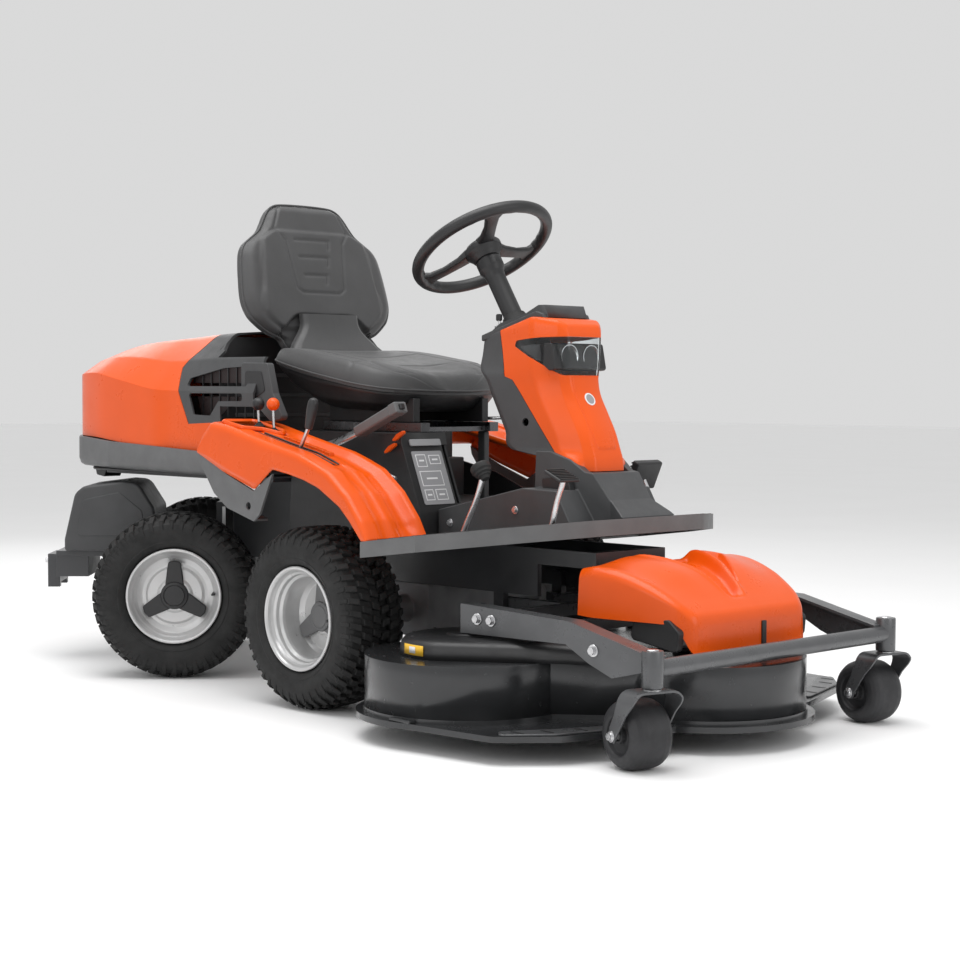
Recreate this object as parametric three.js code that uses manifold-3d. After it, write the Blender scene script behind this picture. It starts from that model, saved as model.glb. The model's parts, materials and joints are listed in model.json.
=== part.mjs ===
// Articulated front-deck ride-on lawn mower.
// Millimetres, +X forward, +Y to the driver's left, +Z up. While it is being
// built, x = 0 and y = 0 are under the front axle's centre and z = 0 is the
// ground. The last lines move the origin to the middle of the footprint.
import * as THREE from 'three';
import { mergeVertices } from 'three/addons/utils/BufferGeometryUtils.js';
import Module from 'manifold-3d';

const wasm = await Module();
wasm.setup();

// ---- driving dimensions ---------------------------------------------------
const GAP = 0.3;                    // clearance between touching pieces
const SKIN = 4;                     // wall of the moulded covers
const TYRE_RADIUS = 203.5;          // 170/60-8 tyre
const TYRE_HALF_WIDTH = 85;
const RIM_RADIUS = 116.8;           // edge of the rim flange
const RIM_HALF_WIDTH = 75;
const BORE_RADIUS = 15.5;
const WHEEL_SIDES = 24;
const FRONT_TRACK_HALF = 356;
const REAR_TRACK_HALF = 313.5;
const FRONT_DISC = -15;             // rim disc, from the wheel's middle plane
const REAR_DISC = 35;
const PIVOT_X = -749;               // vertical steering pivot of the rear frame
const REAR_AXLE = -145;             // rear axle, behind that pivot
const STEER_ANGLE = 48;             // rear frame turned for a right-hand bend
const WHEEL_CENTRE = [141, 0, 1034];
const COLUMN_TILT = 32.6;           // steering column, from vertical
const WHEEL_RIM = 160;              // steering wheel, to the middle of its rim
const GRIP_RADIUS = 14;
const RAIL_TOP = 370;
const FENDER_SIDE = 445;            // outer face of the fenders
const BEAD_RADIUS = 104.5;          // rim where the tyre's beads sit
const RIM_SIDES = 20;
const PLATE_REAR = [232, 389];      // footplate's top at its rear edge, x and z
const PLATE_SLOPE = 0.13;
const PLATE_DEPTH = 34;
const HOOD_BOTTOM = 576;
const HOOD_SPLIT = -540;            // orange hood behind, grey panel in front
const SIDE_LOBE = [462, 350];       // side blade spindles, x and |y|
const CENTRE_LOBE = [797, 0];
const LIP_RADIUS = 230;
const WALL_RADIUS = 212;
const LIP_BOTTOM = 44;
const DECK_TOP = 170;
const DECK_SKIN = 3.5;
const BLADE_LENGTH = 396;
const CASTER_POST = [987, 379];     // swivel axes, x and |y|
const CASTER_RADIUS = 67;
const CASTER_TRAIL = 48;
const CASTER_ANGLE = { right: -14, left: -11 };

const radians = THREE.MathUtils.degToRad;
const model = new THREE.Group();

// ---- finishes -------------------------------------------------------------
const finish = (color, roughness, metalness = 0) =>
  new THREE.MeshStandardMaterial({ color, roughness, metalness });
const ORANGE = finish(0xf4511e, 0.35);
const DARK_GREY = finish(0x4a4a4c, 0.6);
const MID_GREY = finish(0x6b6b6d, 0.55);
const BLACK = finish(0x18181a, 0.5);
const FRAME_PAINT = finish(0x2a2b2d, 0.5, 0.3);
const DECK_PAINT = finish(0x2c2d2f, 0.25, 0.4);
const SEAT_VINYL = finish(0x3a3a3c, 0.6);
const RUBBER = finish(0x161616, 0.9);
const SILVER = finish(0xc8c8c8, 0.35, 0.8);
const STEEL = finish(0x9a9a9a, 0.35, 0.9);
const CAST = finish(0x55565a, 0.6, 0.5);
const LENS = finish(0xdfe6ea, 0.05);

// ---- solids ---------------------------------------------------------------
function solid(geometry) {
  geometry.deleteAttribute('normal');
  geometry.deleteAttribute('uv');
  const merged = mergeVertices(geometry, 1e-4);
  const mesh = new wasm.Mesh({
    numProp: 3,
    vertProperties: new Float32Array(merged.attributes.position.array),
    triVerts: new Uint32Array(merged.index.array),
  });
  return new wasm.Manifold(mesh);
}

const join = (...solids) => solids.reduce((all, one) => all.add(one));
const cut = (body, ...tools) => tools.reduce((left, tool) => left.subtract(tool), body);
const moved = (body, x, y, z) => body.translate([x, y, z]);
const mirrored = (body) => body.mirror([0, 1, 0]);

function put(name, body, material, parent = model) {
  const mesh = body.getMesh();
  const geometry = new THREE.BufferGeometry();
  geometry.setAttribute('position', new THREE.BufferAttribute(mesh.vertProperties, 3));
  geometry.setIndex(new THREE.BufferAttribute(mesh.triVerts, 1));
  geometry.computeVertexNormals();
  const node = new THREE.Mesh(geometry, material);
  node.name = name;
  parent.add(node);
}

function box(x0, x1, y0, y1, z0, z1) {
  const block = new THREE.BoxGeometry(x1 - x0, y1 - y0, z1 - z0);
  return solid(block.translate((x0 + x1) / 2, (y0 + y1) / 2, (z0 + z1) / 2));
}

// A round bar between two points.
function rod(from, to, radius, sides = 16) {
  const start = new THREE.Vector3(...from);
  const along = new THREE.Vector3(...to).sub(start);
  const bar = new THREE.CylinderGeometry(radius, radius, along.length(), sides);
  const turn = new THREE.Quaternion();
  turn.setFromUnitVectors(new THREE.Vector3(0, 1, 0), along.clone().normalize());
  bar.applyQuaternion(turn);
  const middle = start.addScaledVector(along, 0.5);
  return solid(bar.translate(middle.x, middle.y, middle.z));
}

// A bar bent through several points, with a smooth bend at each.
function bentRod(points, radius, steps = 10) {
  const circle = new THREE.Shape().absarc(0, 0, radius, 0, 2 * Math.PI);
  const path = new THREE.CatmullRomCurve3(points.map((p) => new THREE.Vector3(...p)), false,
    'centripetal');
  const options = { steps, extrudePath: path, curveSegments: 4 };
  return solid(new THREE.ExtrudeGeometry(circle, options));
}

const outline = (points) => new THREE.Shape(points.map((p) => new THREE.Vector2(...p)));

// A flat outline pushed along one axis: (x, z) points for 'y', (x, y) for 'z', (y, z) for 'x'.
function slab(shape, axis, low, high, curveSegments = 8) {
  const flat = Array.isArray(shape) ? outline(shape) : shape;
  const options = { depth: high - low, bevelEnabled: false, curveSegments };
  const geometry = new THREE.ExtrudeGeometry(flat, options);
  if (axis === 'z') geometry.translate(0, 0, low);
  if (axis === 'y') geometry.rotateX(Math.PI / 2).translate(0, high, 0);
  if (axis === 'x') {
    const basis = new THREE.Matrix4().makeBasis(
      new THREE.Vector3(0, 1, 0), new THREE.Vector3(0, 0, 1), new THREE.Vector3(1, 0, 0));
    geometry.applyMatrix4(basis).translate(low, 0, 0);
  }
  return solid(geometry);
}

// A closed (radius, height) profile turned about +Z.
function turned(profile, sides = 32) {
  const points = profile.map((p) => new THREE.Vector2(...p));
  const ring = new THREE.LatheGeometry([...points, points[0]], sides);
  const body = solid(ring.rotateX(Math.PI / 2));
  return body.volume() > 0 ? body : solid(flipped(ring));
}

function flipped(geometry) {
  const index = geometry.index.array;
  for (let i = 0; i < index.length; i += 3) {
    const kept = index[i];
    index[i] = index[i + 1];
    index[i + 1] = kept;
  }
  return geometry;
}

// A skin over rings of points, with a flat fan closing each end.
function loft(rings) {
  const count = rings[0].length;
  const points = rings.flat();
  const faces = [];
  for (let r = 0; r + 1 < rings.length; r += 1) {
    for (let i = 0; i < count; i += 1) {
      const a = r * count + i;
      const b = r * count + ((i + 1) % count);
      faces.push(a, b, b + count, a, b + count, a + count);
    }
  }
  [0, rings.length - 1].forEach((r) => {
    const ring = rings[r];
    const middle = [0, 1, 2].map((k) => ring.reduce((sum, p) => sum + p[k], 0) / count);
    const hub = points.push(middle) - 1;
    for (let i = 0; i < count; i += 1) {
      const a = r * count + i;
      const b = r * count + ((i + 1) % count);
      faces.push(...(r === 0 ? [b, a, hub] : [a, b, hub]));
    }
  });
  const geometry = new THREE.BufferGeometry();
  geometry.setAttribute('position', new THREE.Float32BufferAttribute(points.flat(), 3));
  geometry.setIndex(faces);
  const body = solid(geometry);
  return body.volume() > 0 ? body : solid(flipped(geometry));
}

// ---- wheels ---------------------------------------------------------------
function tyre() {
  const outside = [[105.5, 64], [117.3, 68], [160, TYRE_HALF_WIDTH], [190, 78], [TYRE_RADIUS, 54]];
  const inside = [[190, 58], [105.5, 55]];
  const mirroredPoints = (points) => points.map(([r, t]) => [r, -t]).reverse();
  return turned([...outside, ...mirroredPoints(outside), ...mirroredPoints(inside).slice(0, 1),
    [190, -58], ...inside], WHEEL_SIDES);
}

function rim(disc) {
  const barrel = [
    [RIM_RADIUS, RIM_HALF_WIDTH], [RIM_RADIUS, 71], [BEAD_RADIUS, 69], [BEAD_RADIUS, 58], [100, 40],
    [100, -40], [BEAD_RADIUS, -69], [RIM_RADIUS, -71], [RIM_RADIUS, -RIM_HALF_WIDTH], [96, -44],
  ];
  const plate = [
    [96, disc - 4], [34, disc - 8], [34, disc - 30], [BORE_RADIUS, disc - 30],
    [BORE_RADIUS, disc + 14], [34, disc + 14], [34, disc - 1], [96, disc + 3],
  ];
  return turned([...barrel, ...plate, [96, 44]], RIM_SIDES);
}

// side +1 has the wheel's outer face to the left, -1 to the right.
function wheel(label, x, y, disc, side, parent) {
  const place = new THREE.Group();
  place.position.set(x, y, TYRE_RADIUS);
  place.rotation.x = side > 0 ? -Math.PI / 2 : Math.PI / 2;
  parent.add(place);
  put(`${label}_tyre`, tyre(), RUBBER, place);
  const facetTurn = side > 0 ? 180 / RIM_SIDES : 0; // left rims start half a facet round
  put(`${label}_rim`, rim(disc).rotate([0, 0, facetTurn]), SILVER, place);
}

function axle(x, halfTrack, disc, tubeRadius, housing, mid) {
  const end = halfTrack + disc + 20;
  const shaft = BORE_RADIUS - GAP;
  const tubeEnd = halfTrack + disc - 32;
  return join(
    housing,
    rod([x, -tubeEnd, mid], [x, tubeEnd, mid], tubeRadius),
    rod([x, -end, mid], [x, end, mid], shaft, 20),
  );
}

// ---- chassis --------------------------------------------------------------
function mainFrame() {
  const rails = [-1, 1].map((side) => join(
    slab([[-430, 265], [430, 265], [430, RAIL_TOP],
      [-430, RAIL_TOP]], 'y', side * 105 - 6, side * 105 + 6),
    slab([[428, 335], [600, 335], [600, RAIL_TOP],
      [428, RAIL_TOP]], 'y', side * 105 - 6, side * 105 + 6),
  ));
  const boss = rod([PIVOT_X, 0, 252.5], [PIVOT_X, 0, 401.5], 36, 24);
  const neck = box(PIVOT_X, -400, -40, 40, 275, 385);
  const riser = join(box(-640, -415, -40, -30, 380, 490), box(-640, -415, 30, 40, 380, 490));
  const enginePlate = box(-1060, -340, -230, 230, 486, 496);
  const lugs = [-1, 1].map((side) => join(
    box(285, 315, side * 93 - 8, side * 93 + 8, 226, 300),
    rod([300, side * 62, 240], [300, side * 90, 240], 11),
  ));
  const bore = rod([PIVOT_X, 0, 200], [PIVOT_X, 0, 450], 16 + GAP, 24);
  const body = join(
    ...rails, boss, neck, riser, enginePlate, ...lugs,
    box(-430, -400, -111, 111, 265, RAIL_TOP),
    box(-70, -40, -262, 262, RAIL_TOP - 20, RAIL_TOP),
    box(580, 600, -111, 111, 335, RAIL_TOP),
  );
  const neckHollow = box(PIVOT_X + 46, -390, -32, 32, 283, 362);
  return cut(body, bore, neckHollow);
}

function rearFrame() {
  const fork = join(
    box(-75, 40, -45, 45, 402, 414),
    box(-75, 40, -45, 45, 240, 252),
    box(-75, -60, -45, 45, 240, 414),
    rod([0, 0, 240], [0, 0, 414], 16, 24),
  );
  const spine = box(-483, -60, -95, 95, 276, 290);
  const tailBar = box(-483, -400, -90, 90, 223, 290);
  const towPlate = cut(box(-511, -480, -60, 60, 193, 279), box(-505, -478, -40, 40, 190, 205));
  return join(fork, spine, tailBar, towPlate);
}

function counterweight() {
  const side = [[-457, 291], [-457, 318], [-427, 448], [-412, 460], [-308, 471], [-270, 470],
    [-227, 403], [-215, 291]];
  return slab(side, 'y', -122, 122);
}

// ---- seat -----------------------------------------------------------------
function pedestal() {
  const side = [[-318, 371], [154, 371], [150, 440], [90, 586], [84, 612], [-300, 612]];
  const inside = [[-312, 360], [147, 360], [144, 438], [85, 582], [79, 606], [-294, 606]];
  const legRoom = box(60, 170, -80, 110, 440, 584);
  return cut(slab(side, 'y', -200, 200), slab(inside, 'y', -194, 194), legRoom);
}

function seatBase() {
  const rails = [-1, 1].map((side) => box(-280, 70, side * 110 - 14, side * 110 + 14, 612 + GAP, 634));
  return join(...rails, box(-250, -220, -124, 124, 612 + GAP, 624), box(20, 50, -124, 124, 612 + GAP,
    624));
}

// Seat plan: half outline from the rear to the front, as x and |y|.
const SEAT_PLAN = [[-388, 120], [-384, 175], [-350, 214], [-200, 228], [-70, 226], [2, 192],
  [38, 110], [46, 40]];

function seatPlan(inset) {
  const right = SEAT_PLAN.map(([x, y]) => [x + Math.sign(-170 - x) * inset, inset - y]);
  return [...right, ...right.slice().reverse().map(([x, y]) => [x, -y])];
}

function seatPan() {
  const runners = [-1, 1].map((side) => box(-260, 40, side * 110 - 10, side * 110 + 10, 634 + GAP,
    690));
  const side = [[-384, 774], [-250, 748], [-100, 722], [20, 701], [44, 696], [28, 672], [-40, 656],
    [-240, 664], [-330, 700], [-384, 742]];
  const pan = slab(side, 'y', -228, 228).intersect(slab(seatPlan(14), 'z', 600, 800));
  const spine = slab([[-384, 735], [-340, 730], [-372, 780], [-400, 793.6], [-434, 785.1],
    [-420, 760]], 'y', -85, 85);
  return join(...runners, pan, spine);
}

function seatCushion() {
  const side = [[-390, 776.5], [-250, 748.5], [-100, 722.5], [20, 701.5], [46, 697], [52, 710],
    [42, 730], [-6, 754], [-100, 780], [-250, 802], [-372, 810], [-388, 800]];
  const body = slab(side, 'y', -228, 228).intersect(slab(seatPlan(0), 'z', 600, 850));
  return cut(body, slab([[-500, 700], [-337, 700], [-337, 735], [-369, 780], [-369, 850],
    [-500, 850]], 'y', -87, 87));
}

// The back leans; its outline is drawn upright at the origin and tilted with its group.
function seatBack() {
  const half = [[100, 0], [116, 12], [132, 46], [182, 62], [224, 104], [234, 140], [224, 200],
    [204, 272], [160, 336], [104, 384], [60, 394]];
  const all = [...half, ...half.slice().reverse().map(([y, z]) => [-y, z])];
  const inner = all.map(([y, z]) => [y * 0.86, 190 + (z - 190) * 0.88]);
  const ring = (points, x) => points.map(([y, z]) => [x, y, z]);
  return loft([ring(inner, -58), ring(all, -44), ring(all, -18), ring(inner, 0)]);
}

// ---- body panels ----------------------------------------------------------
const hoodRing = ([x, w, b, c, ws, s, wt, t]) => [
  [x, -w, b], [x, -w, c], [x, -ws, s], [x, -wt, t], [x, wt, t], [x, ws, s], [x, w, c], [x, w, b],
];
const HOOD_STATIONS = [
  [-1150, 225, 592, 668, 190, 742, 120, 772],
  [-1105, 280, HOOD_BOTTOM, 670, 250, 768, 178, 800],
  [-900, 318, HOOD_BOTTOM, 672, 290, 786, 214, 822],
  [-700, 326, HOOD_BOTTOM, 675, 302, 800, 226, 838],
  [HOOD_SPLIT, 328, HOOD_BOTTOM, 680, 306, 810, 232, 848],
  [-320, 326, HOOD_BOTTOM, 684, 304, 822, 232, 850],
];
const thinner = ([x, w, b, c, ws, s, wt, t]) => [
  x, w - SKIN, b - 40, c, ws - SKIN, s - SKIN, wt - SKIN, t - SKIN,
];

function hoodBody() {
  const outer = loft(HOOD_STATIONS.map(hoodRing));
  const stations = HOOD_STATIONS.map(thinner);
  stations[0] = [-1145, ...stations[0].slice(1)];
  stations[5] = [-300, ...stations[5].slice(1)];
  return cut(outer, loft(stations.map(hoodRing)));
}

function greyRegion(shift) {
  const side = [[-462 - shift, 560], [-560 - shift, 700], [-590 - shift, 830], [-560 - shift, 900],
    [-200, 900], [-200, 560]];
  return slab(side, 'y', -400, 400);
}

function grilleSlab(side, low, high) {
  const window = [[-548, 716], [-560, 790], [-410, 800], [-405, 708], [-470, 690]];
  return slab(window, 'y', ...(side < 0 ? [-high, -low] : [low, high]));
}

function hoodTopPanel(body) {
  const seatCut = slab([[-470, 640], [-100, 640], [-100, 900], [-498, 900],
    [-498, 820]], 'y', -258, 258);
  const lowFront = box(-490, -200, -400, 400, 772, 900);
  const fenderRoom = box(-420, -200, -400, 400, 500, 668);
  const windows = [-1, 1].map((side) => grilleSlab(side, 250, 400));
  return cut(body.intersect(greyRegion(-GAP)), seatCut, lowFront, fenderRoom, ...windows);
}

const intakeGrille = (side, body) => body.intersect(grilleSlab(side, 252, 398));

const SURROUND_PLAN = [[-1162, -215], [-1130, -280], [-1060, -318], [-900, -332], [-440, -340]];

function rearSurround() {
  const plan = (inset) => {
    const right = SURROUND_PLAN.map(([x, y]) => [x + inset, y + inset]);
    return [...right, ...right.slice().reverse().map(([x, y]) => [x, -y])];
  };
  const shell = cut(slab(plan(0), 'z', 500, HOOD_BOTTOM - 1), slab(plan(5), 'z', 506, 600), box(-450,
    -400, -330, 330, 506, 600));
  const bevel = slab([[-1200, 490], [-1035, 490], [-1035, 500], [-1070, 528], [-1175, 545],
    [-1200, 545]], 'y', -400, 400);
  return cut(shell, box(-925, -545, -215, 215, 490, 520), bevel);
}

// Fender outline seen from the side: the upper edge, then the wheel arch.
const FENDER_TOP = [[-352, 572], [-332, 607], [-303, 636], [-250, 626], [-94, 592], [18, 569],
  [119, 534], [182, 487], [231, 431], [254, 393]];
const FENDER_ARCH = [[232, 389.6], [196, 429], [162, 459], [91, 497], [-11, 523], [-71, 532],
  [-136, 485], [-251, 521], [-349, 562]];
const FENDER_INNER = 270;
const plateTop = (x) => PLATE_REAR[1] + (x - PLATE_REAR[0]) * PLATE_SLOPE + GAP;

function fender(openings) {
  const wall = 5;
  const sideWall = slab([...FENDER_TOP, ...FENDER_ARCH], 'y', -FENDER_SIDE, -FENDER_SIDE + wall);
  const under = FENDER_TOP.slice().reverse().map(([x, z]) => [x > 0 ? x - wall : x, z - wall]);
  const top = slab([...FENDER_TOP, ...under], 'y', -FENDER_SIDE, -FENDER_INNER);
  const hoodRoom = box(-400, -316, -332, -200, 500, 700);
  const plateRoom = slab([[150, 300], [500, 300], [500, plateTop(500)],
    [150, plateTop(150)]], 'y', -500, 0);
  return cut(join(sideWall, top), hoodRoom, plateRoom, ...openings);
}

function leverSlots() {
  return [
    box(-178, 84, -394, -382, 520, 640),
    box(-262, -222, -352, -340, 600, 660),
    box(-206, -166, -352, -340, 600, 660),
  ];
}

function fenderLower() {
  const panel = [[-350, 562], [-345, 540], [-290, 470], [-240, 438], [-140, 412], [-118, 430],
    [-72, 522], [-141, 481], [-240, 515]];
  const plate = slab(panel, 'y', -FENDER_SIDE + 4, -FENDER_SIDE + 10);
  const flange = slab([[-290, 470], [-240, 438], [-140, 412], [-140, 417], [-238, 443],
    [-287, 474]], 'y', -FENDER_SIDE + 4, -400);
  return cut(join(plate, flange), rod([-160, -460, 446], [-160, -420, 446], 9));
}

function footplate() {
  const half = [[160, -262], [PLATE_REAR[0], -262], [PLATE_REAR[0], -FENDER_SIDE],
    [405, -FENDER_SIDE], [580, -300], [652, -176], [660, 0]];
  const plan = (inset) => {
    const right = half.map(([x, y], i) => [x + (i < 3 ? inset : -inset), Math.min(y + inset, 0)]);
    return [...right, ...right.slice(0, -1).reverse().map(([x, y]) => [x, -y])];
  };
  const plate = cut(slab(plan(0), 'z', -PLATE_DEPTH, 0), slab(plan(7), 'z', -100, -6));
  const sloped = plate.transform([1, 0, PLATE_SLOPE, 0, 0, 1, 0, 0, 0, 0, 1, 0, 0, 0,
    PLATE_REAR[1] - PLATE_REAR[0] * PLATE_SLOPE, 1]);
  const pedalHoles = [box(345, 394, -280, -262, 350, 460), box(565, 605, -240, -222, 350, 480),
    box(420, 470, 254, 270, 350, 480)];
  return cut(sloped, box(150, 240, -300, 300, 300, 374), ...pedalHoles);
}

// ---- tower ----------------------------------------------------------------
const TOWER_SIDE = [[205, 757], [205, 824], [280, 839], [383, 868], [430, 866], [458, 846],
  [462, 826], [458, 740], [466, 686], [536, 537], [500, 562], [448, 579], [318, 579], [234, 733]];
const TOWER_PLAN = [[195, 60], [215, 95], [400, 97], [470, 66], [545, 64], [560, 40]];

function towerBody(inset) {
  const middle = [350, 700];
  const side = TOWER_SIDE.map(([x, z]) => [x + Math.sign(middle[0] - x) * inset,
    z + (z > 800 ? -inset : 0)]);
  const plan = TOWER_PLAN.map(([x, y]) => [x, y - inset]);
  const footprint = [...plan, ...plan.slice().reverse().map(([x, y]) => [x, -y])];
  return slab(side, 'y', -120, 120).intersect(slab(footprint, 'z', 500, 900));
}

function towerInside() {
  return join(towerBody(SKIN), towerBody(SKIN).translate([0, 0, -12]));
}

const behindSeam = (shift) => slab(
  [[100, 500], [100, 900], [262 + shift, 900], [284 + shift, 822], [309 + shift, 740],
    [345 + shift, 712], [447 + shift, 578], [500 + shift, 500]], 'y', -200, 200);
const lensRegion = (grow) => slab(
  [[330 - 3 * grow, 814], [425, 764 - 2 * grow], [446, 734 - grow], [560, 734 - grow],
    [560, 826 + grow], [440, 824 + grow]], 'y', -200, 200);

function towerFrontCover(body) {
  return cut(body, behindSeam(0), lensRegion(GAP), columnLine(25));
}

function towerCap() {
  const side = [[212, 826], [262, 858], [340, 877], [380, 895], [424, 895], [444, 874], [424, 868],
    [383, 868.5], [280, 839.5], [212, 825.5]];
  const body = slab(side, 'y', -62, 62);
  return cut(body.translate([0, 0, GAP]), columnLine(24 + GAP));
}

function towerBaseCover() {
  const tunnel = [[156, plateTop(156)], [560, plateTop(560)], [520, 498], [419, 500], [156, 442]];
  const nose = [[400, plateTop(400)], [650, plateTop(650)], [640, 452], [596, 480], [556, 534],
    [536, 537 - GAP], [500, 562 - GAP], [448, 579 - GAP], [407, 579 - GAP]];
  const nosePlan = [[390, -97], [480, -90], [600, -66], [660, -90], [660, 90], [600, 66], [480, 90],
    [390, 97]];
  const body = join(slab(tunnel, 'y', -150, 150), slab(nose, 'y', -120, 120).intersect(slab(nosePlan,
    'z', 300, 700)));
  const hollow = join(
    slab([[162, 300], [540, 300], [514, 492], [425, 494], [162, 436]], 'y', -144, 144),
    slab([[412, 300], [600, 300], [590, 470], [545, 530], [500, 600], [414, 600]], 'y', -60, 60),
  );
  return cut(body, hollow);
}

// ---- steering -------------------------------------------------------------
function columnPoint(distance) {
  const tilt = radians(COLUMN_TILT);
  const [x, y, z] = WHEEL_CENTRE;
  return [x + distance * Math.sin(tilt), y, z - distance * Math.cos(tilt)];
}

const columnLine = (radius, from = -40, to = 420) => rod(columnPoint(from), columnPoint(to), radius,
  20);

function steeringColumn() {
  return join(columnLine(22, 34, 400), columnLine(30, 34, 60), box(300, 420, -60, 60, 690,
    700).intersect(columnLine(70, 330, 410)));
}

function steeringWheel() {
  const rimRing = solid(new THREE.TorusGeometry(WHEEL_RIM, GRIP_RADIUS, 8, 30));
  const hub = rod([0, 0, -33], [0, 0, 8], 44, 24);
  const spokes = [90, 210, 330].map((turn) => {
    const spoke = box(30, WHEEL_RIM, -17, 17, -12, 2);
    return spoke.rotate([0, 0, turn]);
  });
  return join(rimRing, hub, ...spokes);
}

// ---- cutting deck ---------------------------------------------------------
function lobes(radius, low, high, sides) {
  const [sx, sy] = SIDE_LOBE;
  return [[sx, -sy], CENTRE_LOBE, [sx, sy]].map(([x, y]) => rod([x, y, low],
    [x, y, high], radius, sides));
}

function deckBody(radius, low, high, inset) {
  const [sideX, sideY] = SIDE_LOBE;
  const half = [[sideX - radius, sideY], [640 - 1.52 * inset, sideY],
    [CENTRE_LOBE[0] - 0.38 * inset, radius]];
  const plan = [...half, ...half.slice().reverse().map(([x, y]) => [x, -y])];
  return join(...lobes(radius, low, high, 28), slab(plan, 'z', low, high));
}

function lipPlan() {
  const half = [[735, -548], [822, -450], [900, -230]];
  return [[300, -500],
    [462, -578], ...half, ...half.slice().reverse().map(([x, y]) => [x, -y]), [462, 578], [300, 500]];
}

function deckShell() {
  const walls = deckBody(WALL_RADIUS, LIP_BOTTOM, DECK_TOP, 0);
  const lip = join(...lobes(LIP_RADIUS, LIP_BOTTOM, LIP_BOTTOM + 12, 28), slab(lipPlan(), 'z',
    LIP_BOTTOM, LIP_BOTTOM + 12));
  const chamber = deckBody(WALL_RADIUS - DECK_SKIN, LIP_BOTTOM - 10, DECK_TOP - DECK_SKIN, DECK_SKIN);
  const shaftHoles = lobes(14, 100, 200, 12);
  const posts = [-1, 1].map((side) => box(602, 636, side * 330 - 12, side * 330 + 12, DECK_TOP - 1,
    205));
  return join(cut(join(walls, lip), chamber, ...shaftHoles), ...posts);
}

function beltLoop(grow, low, high) {
  const [sx, sy] = SIDE_LOBE;
  const [cx] = CENTRE_LOBE;
  const radius = 66 + grow;
  const lean = Math.atan2(sy, cx - sx);
  const shape = new THREE.Shape();
  shape.absarc(sx, -sy, radius, Math.PI, Math.PI + Math.PI / 2 + lean, false);
  shape.absarc(cx, 0, radius, -Math.PI / 2 + lean, Math.PI / 2 - lean, false);
  shape.absarc(sx, sy, radius, Math.PI / 2 - lean, Math.PI, false);
  return slab(shape, 'z', low, high, 6);
}

function beltCover() {
  const [x, y] = [SIDE_LOBE[0], -SIDE_LOBE[1]];
  const plan = (r) => {
    const shape = new THREE.Shape();
    shape.absarc(x, y, r, Math.PI / 2, Math.PI * 1.6, false);
    shape.absarc(700, -250, r * 0.55, Math.PI * 1.6, Math.PI * 2.5, false);
    return shape;
  };
  const shell = cut(slab(plan(140), 'z', DECK_TOP + GAP, 208), slab(plan(134), 'z', 160, 202));
  return cut(shell, beltLoop(8, 160, 198), box(596, 642, -348, -312, 160, 220));
}

function blade() {
  const bar = [[-BLADE_LENGTH / 2, -24], [BLADE_LENGTH / 2 - 30, -24], [BLADE_LENGTH / 2, 24],
    [-BLADE_LENGTH / 2 + 30, 24]];
  return join(
    slab(bar, 'z', 62, 67),
    rod([0, 0, 55], [0, 0, 197], 12, 12),
    rod([0, 0, 178], [0, 0, 192], 60 - GAP, 16),
  );
}

function deckFrame() {
  const [px, py] = CASTER_POST;
  const side = [[470, 274], [775, 264], [985, 216], [985, 192], [930, 177], [885, 166], [825, 188],
    [765, 219], [470, 214]];
  const flange = [[470, 274], [775, 264], [985, 216], [985, 210], [774, 258], [470, 268]];
  const arms = [-1, 1].map((s) => {
    const web = slab(side, 'y', ...(s < 0 ? [-378, -370] : [370, 378]));
    const top = slab(flange, 'y', ...(s < 0 ? [-378, -338] : [338, 378]));
    const tail = box(288, 500, ...(s < 0 ? [-84, -64] : [64, 84]), 228, 252);
    return join(web, top, tail, rod([px, s * py, 161], [px, s * py, 229], 19.5, 20));
  });
  const bores = [-1, 1].map((s) => rod([px, s * py, 150], [px, s * py, 240], 12 + GAP, 20));
  const pinHoles = rod([300, -100, 240], [300, 100, 240], 11 + GAP, 16);
  const cross = join(rod([px, -372, 195],
    [px, 372, 195], 16), box(476, 500, -374, 374, 228, 252), box(640, 658, -374, 374, 218, 242));
  return cut(join(...arms, cross), ...bores, pinHoles);
}

function deckFrontCover() {
  const ring = (x, w, bottom, shoulder, ws, top) => [
    [x, -w, bottom], [x, -w, shoulder], [x, -ws, top], [x, 0, top + 4], [x, ws, top],
      [x, w, shoulder], [x, w, bottom],
  ];
  const stations = [[664, 240, 252, 335, 215, 360], [700, 250, 225, 342, 225, 366],
    [800, 225, 216, 312, 180, 332], [872, 190, 204, 264, 133, 297], [922, 166, 194, 215, 124, 236]];
  const inner = stations.map(([x, w, b, s, ws, t], i) => [x + (i === 0 ? 5 : i === 4 ? -5 : 0), w - 5,
    b - 60, s - 3, ws - 5, t - 5]);
  return cut(loft(stations.map((s) => ring(...s))), loft(inner.map((s) => ring(...s))));
}

function casterFork() {
  const legs = [-1, 1].map((s) => {
    const strap = [[-66, 60], [-56, 52], [-40, 52], [-30, 62], [4, 120], [22, 146], [22, 156],
      [-30, 156], [-34, 130]];
    return slab(strap, 'y', ...(s < 0 ? [-58, -53] : [53, 58]));
  });
  const top = box(-30, 22, -58, 58, 151, 156);
  const stem = rod([0, 0, 153], [0, 0, 232], 12, 20);
  const bolt = rod([-CASTER_TRAIL, -64, CASTER_RADIUS], [-CASTER_TRAIL, 64, CASTER_RADIUS], 8, 12);
  return join(...legs, top, stem, bolt);
}

function casterWheel() {
  const half = [[CASTER_RADIUS, 24], [60, 40], [38, 46], [8 + GAP, 46]];
  return turned([...half, ...half.map(([r, t]) => [r, -t]).reverse()], WHEEL_SIDES);
}

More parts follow.
